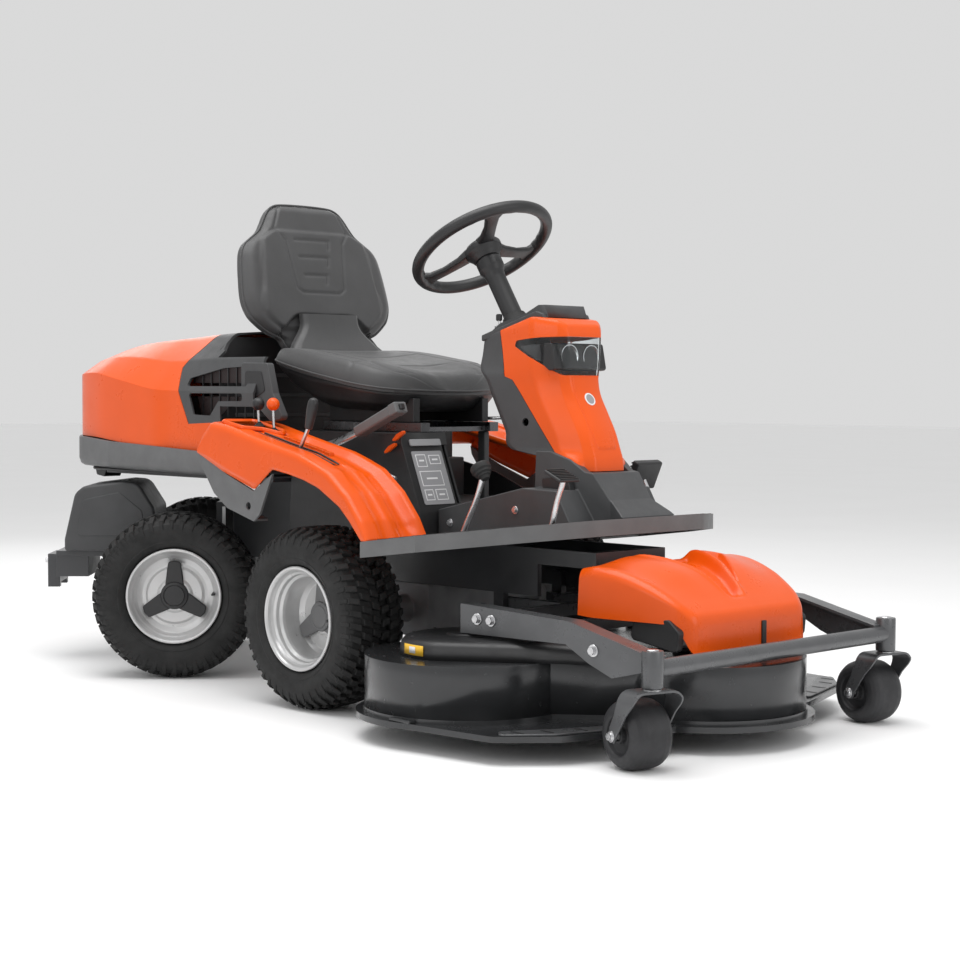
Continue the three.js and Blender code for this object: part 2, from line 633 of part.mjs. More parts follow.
// ---- controls -------------------------------------------------------------
function liftLever() {
  const y = -250;
  return join(
    rod([-150, y - 8, 540], [-150, y + 8, 540], 14),
    bentRod([[-150, y, 540], [-132, y, 572], [-24, y, 602]], 7),
    rod([-34, y, 598], [134, y, 668], 13, 12),
    rod([130, y, 666], [148, y, 674], 9, 12),
  );
}

function heightLever() {
  const y = -388;
  return join(
    rod([-60, y - 5, 545], [-60, y + 5, 545], 12),
    bentRod([[-60, y, 545], [-42, y, 572], [-8, y, 628]], 4.5),
    rod([-9, y, 624], [10, y, 692], 11, 12),
  );
}

function smallLever(x) {
  const y = -346;
  return join(
    rod([x, y - 5, 590], [x, y + 5, 590], 10),
    rod([x, y, 590], [x - 4, y, 664], 3.5, 8),
    rod([x - 4, y, 660], [x - 5, y, 694], 11, 12),
  );
}

function footPedal(foot, elbow, top, pad) {
  return join(
    rod([foot[0], foot[1] - 6, foot[2]], [foot[0], foot[1] + 6, foot[2]], 12),
    bentRod([foot, elbow, top], 6),
    pad,
  );
}

function seatLever() {
  return bentRod([[20, 130, 642], [60, 150, 644], [98, 165, 650]], 4);
}

function ignitionKey() {
  const shaft = rod([240, -40, 852], [237, -40, 866], 3, 8);
  return join(shaft, box(229, 244, -43, -37, 864, 880));
}

// ---- assembly -------------------------------------------------------------
function addChassis() {
  put('main_frame', mainFrame(), FRAME_PAINT);
  const housing = box(-80, 80, -110, 110, 140, 265 - GAP);
  put('front_transaxle', axle(0, FRONT_TRACK_HALF, FRONT_DISC, 32, housing, TYRE_RADIUS), CAST);
  wheel('front_right', 0, -FRONT_TRACK_HALF, FRONT_DISC, -1, model);
  wheel('front_left', 0, FRONT_TRACK_HALF, FRONT_DISC, 1, model);
}

function addRear() {
  const rear = new THREE.Group();
  rear.position.set(PIVOT_X, 0, 0);
  rear.rotation.z = radians(STEER_ANGLE);
  model.add(rear);
  put('rear_frame', rearFrame(), FRAME_PAINT, rear);
  put('counterweight', counterweight(), DARK_GREY, rear);
  const housing = box(REAR_AXLE - 70, REAR_AXLE + 60, -100, 100, 140, 276 - GAP);
  put('rear_transaxle', axle(REAR_AXLE, REAR_TRACK_HALF, REAR_DISC, 30, housing, TYRE_RADIUS), CAST,
    rear);
  wheel('rear_right', REAR_AXLE, -REAR_TRACK_HALF, REAR_DISC, -1, rear);
  wheel('rear_left', REAR_AXLE, REAR_TRACK_HALF, REAR_DISC, 1, rear);
}

function engine() {
  return join(
    box(-900, -560, -150, 150, 496 + GAP, 640),
    rod([-730, 0, 638], [-730, 0, 730], 128, 24),
    box(-880, -770, -210, -100, 560, 690),
    rod([-880, 178, 560], [-600, 178, 560], 42, 16),
  );
}

function addEngineBay() {
  put('engine', engine(), CAST);
  put('fuel_tank', box(-1085, -935, -190, 190, 508, 660), BLACK);
  put('battery', box(-270, -110, 40, 185, RAIL_TOP + GAP, 545), BLACK);
  put('rear_surround', rearSurround(), MID_GREY);
  const body = hoodBody();
  put('hood', cut(body, greyRegion(0)), ORANGE);
  put('hood_top_panel', hoodTopPanel(body), DARK_GREY);
  put('intake_grille_right', intakeGrille(-1, body), BLACK);
  put('intake_grille_left', intakeGrille(1, body), BLACK);
}

function addBodywork() {
  put('right_fender', fender(leverSlots()), ORANGE);
  put('left_fender', mirrored(fender([])), ORANGE);
  put('right_fender_lower', fenderLower(), MID_GREY);
  put('left_fender_lower', mirrored(fenderLower()), MID_GREY);
  put('footplate', footplate(), MID_GREY);
  put('seat_pedestal', pedestal(), BLACK);
}

function addSeat() {
  put('seat_rails', seatBase(), STEEL);
  put('seat_pan', seatPan(), BLACK);
  put('seat_cushion', seatCushion(), SEAT_VINYL);
  put('seat_lever', seatLever(), BLACK);
  const lean = new THREE.Group();
  lean.position.set(-392, 0, 796);
  lean.rotation.y = radians(-14);
  model.add(lean);
  put('seat_back', seatBack(), SEAT_VINYL, lean);
}

function addTower() {
  const body = cut(towerBody(0), towerInside());
  put('tower_front_cover', towerFrontCover(body), ORANGE);
  put('tower_rear_cover', cut(body.intersect(behindSeam(-GAP)), columnLine(25)), DARK_GREY);
  put('headlight_lens', body.intersect(lensRegion(0)), LENS);
  put('tower_cap', towerCap(), DARK_GREY);
  put('tower_base_cover', towerBaseCover(), DARK_GREY);
  put('ignition_key', ignitionKey(), BLACK);
  put('steering_column', steeringColumn(), BLACK);
  const tilt = new THREE.Group();
  tilt.position.set(...WHEEL_CENTRE);
  tilt.rotation.y = radians(-COLUMN_TILT);
  model.add(tilt);
  put('steering_wheel', steeringWheel(), BLACK, tilt);
}

function addDeck() {
  const [sx, sy] = SIDE_LOBE;
  put('deck_frame', deckFrame(), FRAME_PAINT);
  put('deck_shell', deckShell(), DECK_PAINT);
  put('belt_cover_right', beltCover(), BLACK);
  put('belt_cover_left', mirrored(beltCover()), BLACK);
  put('deck_belt', cut(beltLoop(0, 181, 189), beltLoop(-6, 170, 200)), RUBBER);
  put('deck_front_cover', deckFrontCover(), ORANGE);
  put('blade_right', moved(blade().rotate([0, 0, 90]), sx, -sy, 0), STEEL);
  put('blade_centre', moved(blade(), ...CENTRE_LOBE, 0), STEEL);
  put('blade_left', moved(blade().rotate([0, 0, 90]), sx, sy, 0), STEEL);
}

function addCaster(label, side) {
  const swivel = new THREE.Group();
  swivel.position.set(CASTER_POST[0], side * CASTER_POST[1], 0);
  swivel.rotation.z = radians(CASTER_ANGLE[label]);
  model.add(swivel);
  put(`caster_fork_${label}`, casterFork(), MID_GREY, swivel);
  const spin = new THREE.Group();
  spin.position.set(-CASTER_TRAIL, 0, CASTER_RADIUS);
  spin.rotation.x = Math.PI / 2;
  swivel.add(spin);
  put(`caster_wheel_${label}`, casterWheel(), RUBBER, spin);
}

function addControls() {
  put('lift_lever', liftLever(), STEEL);
  put('height_lever', heightLever(), BLACK);
  put('throttle_lever', smallLever(-242), BLACK);
  put('choke_lever', smallLever(-186), ORANGE);
  const roundPad = rod([424, -271, 536], [412, -271, 552], 20, 16);
  put('forward_pedal', footPedal([352, -271, 384], [400, -271, 470],
    [428, -271, 534], roundPad), STEEL);
  const flatPad = box(590, 640, -262, -202, 520, 550);
  put('reverse_pedal', footPedal([580, -231, 412], [596, -231, 470], [622, -231, 530], flatPad), STEEL);
  const brakePad = box(388, 412, 214, 310, 490, 550);
  put('brake_pedal', footPedal([455, 262, 394], [440, 262, 440], [400, 262, 510], brakePad), STEEL);
}

addChassis();
addRear();
addEngineBay();
addBodywork();
addSeat();
addTower();
addDeck();
addCaster('right', -1);
addCaster('left', 1);
addControls();

// The origin goes under the middle of the whole machine.
const bounds = new THREE.Box3().setFromObject(model);
const middle = bounds.getCenter(new THREE.Vector3());
model.position.set(-middle.x, -middle.y, -bounds.min.z);

export default model;
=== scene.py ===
import json
import math

import bmesh
import bpy
from mathutils import Matrix, Vector

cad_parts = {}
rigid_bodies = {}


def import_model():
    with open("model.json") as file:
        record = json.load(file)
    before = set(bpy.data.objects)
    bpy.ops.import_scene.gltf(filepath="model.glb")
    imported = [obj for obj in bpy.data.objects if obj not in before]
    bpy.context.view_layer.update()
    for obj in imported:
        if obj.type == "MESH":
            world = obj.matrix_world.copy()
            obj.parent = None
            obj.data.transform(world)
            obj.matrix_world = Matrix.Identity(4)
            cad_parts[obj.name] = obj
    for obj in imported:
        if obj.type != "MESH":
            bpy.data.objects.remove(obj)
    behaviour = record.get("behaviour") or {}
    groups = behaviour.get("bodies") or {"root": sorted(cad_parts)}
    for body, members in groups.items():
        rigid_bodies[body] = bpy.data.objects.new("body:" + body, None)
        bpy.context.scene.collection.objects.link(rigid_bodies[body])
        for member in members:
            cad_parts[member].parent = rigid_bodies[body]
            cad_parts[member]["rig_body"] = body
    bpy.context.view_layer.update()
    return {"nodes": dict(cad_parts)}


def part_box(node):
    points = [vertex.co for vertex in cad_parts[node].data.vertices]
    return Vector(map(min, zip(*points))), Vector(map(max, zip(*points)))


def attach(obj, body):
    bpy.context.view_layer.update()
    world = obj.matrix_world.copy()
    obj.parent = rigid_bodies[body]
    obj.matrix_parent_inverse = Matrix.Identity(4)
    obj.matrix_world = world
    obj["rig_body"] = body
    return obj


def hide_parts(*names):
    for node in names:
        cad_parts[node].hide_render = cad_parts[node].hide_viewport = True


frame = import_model()

# ---- driving sizes, in millimetres ------------------------------------------
MM = 0.001
TYRE_LOW, TYRE_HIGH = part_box("front_right_tyre")
AXLE_X = (TYRE_LOW.x + TYRE_HIGH.x) / 2
TYRE_R = (TYRE_HIGH.z - TYRE_LOW.z) / 2 / MM
FRONT_TRACK = 356
REAR_TRACK = 313.5
PIVOT_X = -749
REAR_AXLE = -145
STEER = math.radians(48)
WHEEL_CENTRE = (141, 0, 1034)
COLUMN_TILT = math.radians(32.6)
CASTER_POST = (987, 379)
CASTER_TRAIL = 48
CASTER_R = 67
CASTER_ANGLE = {"right": math.radians(-14), "left": math.radians(-11)}
SIDES = ((-1, "right"), (1, "left"))

# ---- camera, in metres, and its lens in millimetres --------------------------
CAMERA_TURN = math.radians(45.876)
CAMERA_ROLL = math.radians(0.237)
CAMERA_BACK = Vector((0.71702, -0.69543, 0.04750))
CAMERA_SHIFT, CAMERA_AIM_HEIGHT = 0.09466, 0.49781
CAMERA_DISTANCE = 4.45
CAMERA_LENS = 70.84

# ---- places ------------------------------------------------------------------
# Takes millimetres from the front axle to the frame's metres.
PLAIN = Matrix.Translation((AXLE_X, 0, 0)) @ Matrix.Scale(MM, 4)


def turned(degrees, axis):
    return Matrix.Rotation(math.radians(degrees), 4, axis)


def placed(x, y, z, turn=Matrix.Identity(4)):
    return PLAIN @ Matrix.Translation((x, y, z)) @ turn


REAR = placed(PIVOT_X, 0, 0, Matrix.Rotation(STEER, 4, "Z"))


# ---- node materials -----------------------------------------------------------
PLASTIC_GRAIN = 900


def nodes_of(name):
    mat = bpy.data.materials.new(name)
    mat.use_nodes = True
    tree = mat.node_tree
    shader = tree.nodes["Principled BSDF"]
    return mat, tree, shader


def ramp(tree, source, stops):
    node = tree.nodes.new("ShaderNodeValToRGB")
    ends = node.color_ramp.elements
    for element, (place, colour) in zip(ends, (stops[0], stops[-1])):
        element.position = place
        element.color = colour
    for place, colour in stops[1:-1]:
        ends.new(place).color = colour
    tree.links.new(source, node.inputs["Fac"])
    return node.outputs["Color"]


def grey(value):
    return (value, value, value, 1)


def noise_tex(tree, scale, detail=4, roughness=0.55):
    coords = tree.nodes.new("ShaderNodeTexCoord")
    node = tree.nodes.new("ShaderNodeTexNoise")
    node.inputs["Scale"].default_value = scale
    node.inputs["Detail"].default_value = detail
    node.inputs["Roughness"].default_value = roughness
    tree.links.new(coords.outputs["Object"], node.inputs["Vector"])
    return node.outputs["Fac"]


def cell_tex(tree, scale):
    coords = tree.nodes.new("ShaderNodeTexCoord")
    node = tree.nodes.new("ShaderNodeTexVoronoi")
    node.feature = "DISTANCE_TO_EDGE"
    node.inputs["Scale"].default_value = scale
    tree.links.new(coords.outputs["Object"], node.inputs["Vector"])
    return node.outputs["Distance"]


def bump(tree, shader, height, strength, distance):
    node = tree.nodes.new("ShaderNodeBump")
    node.inputs["Strength"].default_value = strength
    node.inputs["Distance"].default_value = distance
    tree.links.new(height, node.inputs["Height"])
    tree.links.new(node.outputs["Normal"], shader.inputs["Normal"])


def mottled(tree, shader, colour, spread, scale):
    """Base colour that drifts a little, as moulded and painted surfaces do."""
    dark = tuple(c * (1 - spread) for c in colour) + (1,)
    light = tuple(min(c * (1 + spread), 1) for c in colour) + (1,)
    colours = ramp(tree, noise_tex(tree, scale, 5), [(0.3, dark), (0.7, light)])
    tree.links.new(colours, shader.inputs["Base Color"])


def rough_between(tree, shader, low, high, scale):
    values = ramp(tree, noise_tex(tree, scale, 6, 0.65), [(0.3, grey(low)), (0.7, grey(high))])
    tree.links.new(values, shader.inputs["Roughness"])


def gloss_plastic(name, colour, rough=0.24):
    mat, tree, shader = nodes_of(name)
    mottled(tree, shader, colour, 0.03, 9)
    rough_between(tree, shader, rough - 0.05, rough + 0.07, 14)
    shader.inputs["Specular IOR Level"].default_value = 0.32
    shader.inputs["Coat Weight"].default_value = 0.1
    shader.inputs["Coat Roughness"].default_value = 0.15
    bump(tree, shader, noise_tex(tree, 420, 2), 0.05, 0.0006)
    return mat


def grained_plastic(name, colour, rough):
    mat, tree, shader = nodes_of(name)
    mottled(tree, shader, colour, 0.1, 18)
    rough_between(tree, shader, rough - 0.07, rough + 0.08, 30)
    bump(tree, shader, cell_tex(tree, PLASTIC_GRAIN), 0.28, 0.0004)
    return mat


def powder_coat(name, colour, rough=0.38, metallic=0.0):
    mat, tree, shader = nodes_of(name)
    mottled(tree, shader, colour, 0.12, 12)
    rough_between(tree, shader, rough - 0.08, rough + 0.1, 25)
    shader.inputs["Metallic"].default_value = metallic
    shader.inputs["Coat Weight"].default_value = 0.25
    shader.inputs["Coat Roughness"].default_value = 0.3
    bump(tree, shader, noise_tex(tree, 650, 3), 0.16, 0.0005)
    return mat


def rubber(name, colour, rough=0.7):
    mat, tree, shader = nodes_of(name)
    mottled(tree, shader, colour, 0.3, 22)
    rough_between(tree, shader, rough - 0.1, rough + 0.12, 40)
    shader.inputs["Specular IOR Level"].default_value = 0.35
    bump(tree, shader, noise_tex(tree, 300, 6, 0.7), 0.3, 0.0006)
    return mat


def vinyl(name, colour):
    mat, tree, shader = nodes_of(name)
    mottled(tree, shader, colour, 0.12, 10)
    rough_between(tree, shader, 0.4, 0.55, 35)
    shader.inputs["Sheen Weight"].default_value = 0.15
    shader.inputs["Sheen Roughness"].default_value = 0.4
    bump(tree, shader, cell_tex(tree, 620), 0.4, 0.0006)
    return mat


def metal(name, colour, rough=0.28):
    mat, tree, shader = nodes_of(name)
    mottled(tree, shader, colour, 0.06, 20)
    rough_between(tree, shader, rough - 0.08, rough + 0.12, 60)
    shader.inputs["Metallic"].default_value = 1.0
    bump(tree, shader, noise_tex(tree, 90, 5), 0.06, 0.0004)
    return mat


def cast_metal(name, colour):
    mat, tree, shader = nodes_of(name)
    mottled(tree, shader, colour, 0.2, 25)
    rough_between(tree, shader, 0.5, 0.75, 50)
    shader.inputs["Metallic"].default_value = 0.7
    bump(tree, shader, noise_tex(tree, 260, 8, 0.7), 0.5, 0.001)
    return mat


def silver_paint(name):
    mat, tree, shader = nodes_of(name)
    mottled(tree, shader, (0.56, 0.56, 0.56), 0.05, 14)
    rough_between(tree, shader, 0.26, 0.4, 30)
    shader.inputs["Metallic"].default_value = 0.45
    shader.inputs["Coat Weight"].default_value = 0.4
    bump(tree, shader, noise_tex(tree, 800, 2), 0.05, 0.0003)
    return mat


def clear_plastic(name, colour, rough):
    mat, tree, shader = nodes_of(name)
    shader.inputs["Transmission Weight"].default_value = 1.0
    shader.inputs["IOR"].default_value = 1.35
    shader.inputs["Base Color"].default_value = (*colour, 1)
    rough_between(tree, shader, rough, rough + 0.03, 50)
    return mat


def mesh_screen(name, colour, back):
    """Woven intake screen: fine square openings over a darker back. The back's dark red is painted shade:
    the hood's orange inside, darkened as it looks in shadow behind the openings.
    """
    mat, tree, shader = nodes_of(name)
    coords = tree.nodes.new("ShaderNodeTexCoord")
    checks = tree.nodes.new("ShaderNodeTexChecker")
    checks.inputs["Scale"].default_value = 260
    checks.inputs["Color1"].default_value = (*colour, 1)
    checks.inputs["Color2"].default_value = (*back, 1)
    tree.links.new(coords.outputs["Object"], checks.inputs["Vector"])
    tree.links.new(checks.outputs["Color"], shader.inputs["Base Color"])
    shader.inputs["Roughness"].default_value = 0.6
    bump(tree, shader, checks.outputs["Fac"], 0.5, 0.0008)
    return mat


ORANGE = gloss_plastic("orange_plastic_gloss", (0.76, 0.088, 0.002), 0.3)
DARK_GREY = grained_plastic("dark_grey_plastic", (0.05, 0.051, 0.053), 0.48)
MID_GREY = grained_plastic("mid_grey_plastic", (0.115, 0.116, 0.118), 0.5)
BLACK = grained_plastic("black_plastic", (0.016, 0.016, 0.017), 0.42)
FRAME_BLACK = powder_coat("frame_powder_coat", (0.032, 0.033, 0.036), 0.36)
TUBE_GREY = powder_coat("tube_powder_coat", (0.09, 0.092, 0.096), 0.3, 0.35)
DECK_BLACK = powder_coat("deck_gloss_coat", (0.032, 0.033, 0.035), 0.2, 0.3)
TYRE_RUBBER = rubber("tyre_rubber", (0.016, 0.016, 0.016))
CASTER_RUBBER = rubber("caster_rubber", (0.028, 0.028, 0.03), 0.5)
BELT_RUBBER = rubber("belt_rubber", (0.02, 0.02, 0.02), 0.65)
VINYL = vinyl("seat_vinyl", (0.052, 0.052, 0.053))
RIM_SILVER = silver_paint("rim_silver")
ZINC = metal("zinc_plated_steel", (0.62, 0.62, 0.63))
DULL_STEEL = metal("dull_steel", (0.14, 0.14, 0.145))
BLADE_STEEL = metal("blade_steel", (0.35, 0.36, 0.38), 0.4)
CAST = cast_metal("cast_alloy", (0.3, 0.3, 0.31))
LENS = clear_plastic("lens_clear", (0.93, 0.96, 0.97), 0.03)
REFLECTOR = metal("lamp_reflector", (0.8, 0.8, 0.8), 0.16)
# The screen's second colour, dark red, is painted shade of the orange inside of the hood seen through the
# openings; the near-black first colour is the mesh itself.
SCREEN = mesh_screen("intake_screen", (0.006, 0.006, 0.007), (0.022, 0.004, 0.003))
LABEL_YELLOW = gloss_plastic("label_yellow", (0.85, 0.5, 0.04), 0.35)
LABEL_GREY = gloss_plastic("label_grey", (0.3, 0.3, 0.31), 0.4)
LABEL_WHITE = gloss_plastic("label_white", (0.75, 0.75, 0.76), 0.4)


# ---- meshes ---------------------------------------------------------------------
def build(name, verts, faces, material, body, place=PLAIN, smooth=35):
    """A new piece from points in mm; place turns them into the frame's metres."""
    mesh = bpy.data.meshes.new(name)
    mesh.from_pydata([place @ Vector(v) for v in verts], [], faces)
    mesh.validate()
    return finish_piece(name, mesh, material, body, smooth)


def finish_piece(name, mesh, material, body, smooth=35):
    shaped = bmesh.new()
    shaped.from_mesh(mesh)
    bmesh.ops.remove_doubles(shaped, verts=shaped.verts, dist=2e-6)
    bmesh.ops.recalc_face_normals(shaped, faces=shaped.faces)
    shaped.to_mesh(mesh)
    shaped.free()
    mesh.shade_smooth()
    if smooth < 180:
        mesh.set_sharp_from_angle(angle=math.radians(smooth))
    mesh.materials.clear()
    mesh.materials.append(material)
    piece = bpy.data.objects.new(name, mesh)
    bpy.context.scene.collection.objects.link(piece)
    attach(piece, body)
    return piece


def bevelled(piece, width, segments=3, angle=30):
    tool = piece.modifiers.new("edges", "BEVEL")
    tool.width = width * MM
    tool.segments = segments
    tool.limit_method = "ANGLE"
    tool.angle_limit = math.radians(angle)
    tool.harden_normals = True
    tool.use_clamp_overlap = True
    return piece


def thickened(piece, thickness, offset=-1):
    wall = piece.modifiers.new("wall", "SOLIDIFY")
    wall.thickness = thickness * MM
    wall.offset = offset
    wall.use_even_offset = True
    return piece


def filleted(points, radius, steps=5, closed=True):
    """The outline with each corner turned into an arc; radius may be a list."""
    count = len(points)
    radii = radius if isinstance(radius, (list, tuple)) else [radius] * count
    out = []
    for i, point in enumerate(points):
        p = Vector(point)
        if not closed and i in (0, count - 1) or radii[i] <= 0:
            out.append(tuple(p))
            continue
        a = Vector(points[i - 1]) - p
        b = Vector(points[(i + 1) % count]) - p
        half = a.angle(b) / 2
        if half > math.radians(89):
            out.append(tuple(p))
            continue
        reach = min(radii[i] / math.tan(half), a.length * 0.48, b.length * 0.48)
        r = reach * math.tan(half)
        bisector = (a.normalized() + b.normalized()).normalized()
        centre = p + bisector * (r / math.sin(half))
        start = p + a.normalized() * reach - centre
        end = p + b.normalized() * reach - centre
        for k in range(steps + 1):
            mix = start.lerp(end, k / steps)
            out.append(tuple(centre + mix.normalized() * r))
    return out


def across(side, inner, outer):
    """Two distances from the middle as the low and high end on one side."""
    return sorted((side * inner, side * outer))


def grid_faces(rows, columns, wrap=False):
    faces = []
    last = columns if wrap else columns - 1
    for r in range(rows - 1):
        for c in range(last):
            n = (c + 1) % columns
            a, b = r * columns + c, r * columns + n
            faces.append((a, b, b + columns, a + columns))
    return faces


def lofted(name, rings, material, body, place=PLAIN, smooth=35):
    """A closed skin over rings of points, with a face at each end."""
    count = len(rings[0])
    verts = [p for ring in rings for p in ring]
    faces = grid_faces(len(rings), count, wrap=True)
    faces += [tuple(range(count)), tuple(range(len(verts) - count, len(verts)))]
    return build(name, verts, faces, material, body, place, smooth)


def sheet(name, rows, material, body, place=PLAIN, smooth=35):
    """An open skin over rows of points."""
    verts = [p for row in rows for p in row]
    return build(name, verts, grid_faces(len(rows), len(rows[0])), material, body, place, smooth)


def lathe(name, profile, material, body, place, segments=96, smooth=30):
    """A closed (radius, height) profile turned about its local Z."""
    verts = []
    for k in range(segments):
        turn = 2 * math.pi * k / segments
        verts += [(r * math.cos(turn), r * math.sin(turn), z) for r, z in profile]
    count = len(profile)
    faces = []
    for k in range(segments):
        n = (k + 1) % segments
        for i in range(count):
            j = (i + 1) % count
            faces.append((k * count + i, k * count + j, n * count + j, n * count + i))
    return build(name, verts, faces, material, body, place, smooth)


AXES = {"x": (1, 2, 0), "y": (0, 2, 1), "z": (0, 1, 2)}


def prism(name, shape, axis, low, high, material, body, place=PLAIN):
    """A flat outline pushed along one axis, like the frame's own plates."""
    first, second, along = AXES[axis]
    verts = []
    for level in (low, high):
        for a, b in shape:
            point = [0, 0, 0]
            point[first], point[second], point[along] = a, b, level
            verts.append(point)
    n = len(shape)
    faces = [tuple(range(n)), tuple(range(n, 2 * n))]
    faces += [(i, (i + 1) % n, (i + 1) % n + n, i + n) for i in range(n)]
    return build(name, verts, faces, material, body, place)


def block(name, low, high, material, body, place=PLAIN, edge=2, segments=3):
    shape = [(low[0], low[1]), (high[0], low[1]), (high[0], high[1]), (low[0], high[1])]
    piece = prism(name, shape, "z", low[2], high[2], material, body, place)
    return bevelled(piece, edge, segments)


def frames_along(points):
    """Position, and two directions across, at each point of a bar's centre line."""
    path = [Vector(p) for p in points]
    result = []
    side = None
    for i, p in enumerate(path):
        ahead = path[min(i + 1, len(path) - 1)] - path[max(i - 1, 0)]
        ahead.normalize()
        if side is None:
            side = ahead.orthogonal().normalized()
        side = (side - ahead * side.dot(ahead)).normalized()
        result.append((p, side, ahead.cross(side)))
    return result


def smooth_path(points, steps=8):
    """Catmull-Rom curve through given points."""
    path = [Vector(p) for p in points]
    ends = [path[0] * 2 - path[1]] + path + [path[-1] * 2 - path[-2]]
    out = []
    for i in range(1, len(ends) - 2):
        a, b, c, d = ends[i - 1:i + 3]
        for k in range(steps):
            t = k / steps
            out.append(0.5 * ((2 * b) + (c - a) * t + (2 * a - 5 * b + 4 * c - d) * t * t
                              + (3 * b - a - 3 * c + d) * t ** 3))
    return out + [path[-1]]


def sweep(name, points, section, material, body, place=PLAIN):
    """A closed section, a list of (across, up) or a function of distance, along points."""
    frames = frames_along(points)
    rings = []
    for i, (p, side, up) in enumerate(frames):
        outline = section(i / (len(frames) - 1)) if callable(section) else section
        rings.append([p + side * a + up * b for a, b in outline])
    return lofted(name, rings, material, body, place, smooth=40)


def circle(radius, sides=20):
    return [(radius * math.cos(2 * math.pi * k / sides), radius * math.sin(2 * math.pi * k / sides))
            for k in range(sides)]


def bar(name, points, radius, material, body, place=PLAIN, sides=20):
    return sweep(name, points, circle(radius, sides), material, body, place)


def axis_to(start, end):
    """Local Z along a line, at its start."""
    along = Vector(end) - Vector(start)
    return Matrix.Translation(start) @ along.to_track_quat("Z", "Y").to_matrix().to_4x4()


def hex_bolt(name, centre, outward, size, body, place=PLAIN):
    """A hexagon head with its washer, standing on a face."""
    turn = place @ axis_to(centre, Vector(centre) + Vector(outward))
    head = [(size * 0.5 * math.cos(math.pi * k / 3),
             size * 0.5 * math.sin(math.pi * k / 3)) for k in range(6)]
    nut = prism(name, head, "z", size * 0.12, size * 0.55, ZINC, body, turn)
    bevelled(nut, size * 0.05, 2)
    washer = [(0.01, 0), (size * 0.72, 0), (size * 0.72, size * 0.1), (size * 0.68, size * 0.14),
              (0.01, size * 0.14)]
    lathe(name + "_washer", washer, ZINC, body, turn, 32)


def settle(piece):
    """Turns the modifiers so far into plain mesh."""
    bpy.context.view_layer.update()
    graph = bpy.context.evaluated_depsgraph_get()
    mesh = bpy.data.meshes.new_from_object(piece.evaluated_get(graph))
    piece.modifiers.clear()
    piece.data = mesh


def cut_by(piece, tool, operation="DIFFERENCE"):
    """Applies a boolean at once and takes the tool away."""
    modifier = piece.modifiers.new("cut", "BOOLEAN")
    modifier.operation = operation
    modifier.solver = "EXACT"
    modifier.object = tool
    settle(piece)
    bpy.data.objects.remove(tool)
    return piece


def copied(piece, name, body):
    twin = bpy.data.objects.new(name, piece.data.copy())
    bpy.context.scene.collection.objects.link(twin)
    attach(twin, body)
    return twin


def repainted(piece, material):
    piece.data.materials.clear()
    piece.data.materials.append(material)


def refined(node, name, material, edge, segments=3):
    """The CAD node's own shape with its edges broken, standing in for that node."""
    source = frame["nodes"][node]
    mesh = source.data.copy()
    shaped = bmesh.new()
    shaped.from_mesh(mesh)
    bmesh.ops.remove_doubles(shaped, verts=shaped.verts, dist=2e-5)
    bmesh.ops.dissolve_limit(
        shaped, angle_limit=math.radians(1.0), verts=shaped.verts, edges=shaped.edges)
    shaped.to_mesh(mesh)
    shaped.free()
    piece = finish_piece(name, mesh, material, source["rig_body"], 30)
    bevelled(piece, edge, segments, 28)
    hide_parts(node)
    return piece


# ---- wheels -------------------------------------------------------------------------
LUG_ROWS = 44
SIDE_OUT = {"right": math.radians(90), "left": math.radians(-90)}


def wheel_place(label):
    end, side = label.split("_")
    turn = Matrix.Rotation(SIDE_OUT[side], 4, "X")
    sign = 1 if side == "left" else -1
    if end == "front":
        return placed(0, sign * FRONT_TRACK, TYRE_R, turn)
    return REAR @ Matrix.Translation((REAR_AXLE, sign * REAR_TRACK, TYRE_R)) @ turn


def tyre_profile():
    half = [(195.4, 0), (195, 30), (192.5, 52), (187, 68), (176, 79), (162, 83.5), (146, 82.5),
            (136, 79.8), (134, 80.4), (131, 79.4), (126, 76), (119.4, 69.5), (117.6, 66), (116.9, 60)]
    back = [(r, -z) for r, z in half[::-1][:-1]]
    inner = [(112, -52), (160, -66), (184, -50), (186, 0), (184, 50), (160, 66), (112, 52)]
    return half + back + inner


def lug(verts, faces, turn, lean, inner, outer, half_angle):
    """One tread block between two (offset, base radius, top radius) edges."""
    base = len(verts)
    for offset, low, high in (inner, outer):
        middle = turn + lean * offset
        for radius, spread in ((low - 3, 1.0), (high, 0.78)):
            for sign in (-1, 1):
                a = middle + sign * spread * half_angle
                verts.append((radius * math.cos(a), radius * math.sin(a), offset))
    for quad in ((2, 3, 7, 6), (0, 2, 6, 4), (1, 5, 7, 3), (0, 1, 3, 2), (4, 6, 7, 5)):
        faces.append(tuple(base + k for k in quad))


def tread_mesh():
    verts, faces = [], []
    top = TYRE_R - 0.2
    pitch = 2 * math.pi / LUG_ROWS
    for k in range(LUG_ROWS):
        for side in (-1, 1):
            shift = (k + (0.25 if side > 0 else 0)) * pitch
            lean = 0.0016
            rows = [
                ((3, 195.3, top), (22, 195.1, top), 0.0),
                ((27, 194.9, top), (49, 192.6, top - 1.4), 0.5),
                ((55, 191, top - 2.5), (76, 178, 187.5), 0.0),
            ]
            for inner, outer, half in rows:
                edges = [(side * t, low, high) for t, low, high in (inner, outer)]
                lug(verts, faces, shift + half * pitch, lean * side, *edges, pitch * 0.3)
            shoulder = [(side * 77.5, 176, 185.5), (side * 83.6, 164, 168)]
            lug(verts, faces, shift, lean * side, *shoulder, pitch * 0.22)
    return verts, faces


def tyre(label):
    place = wheel_place(label)
    body = f"{label}_wheel"
    carcass = lathe(f"tyre_carcass_{label}", tyre_profile(), TYRE_RUBBER, body, place, 112, 25)
    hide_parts(f"{label}_tyre")
    verts, faces = tread_mesh()
    lugs = build(f"tyre_tread_{label}", verts, faces, TYRE_RUBBER, body, place, 30)
    bevelled(lugs, 1.4, 2, 20)


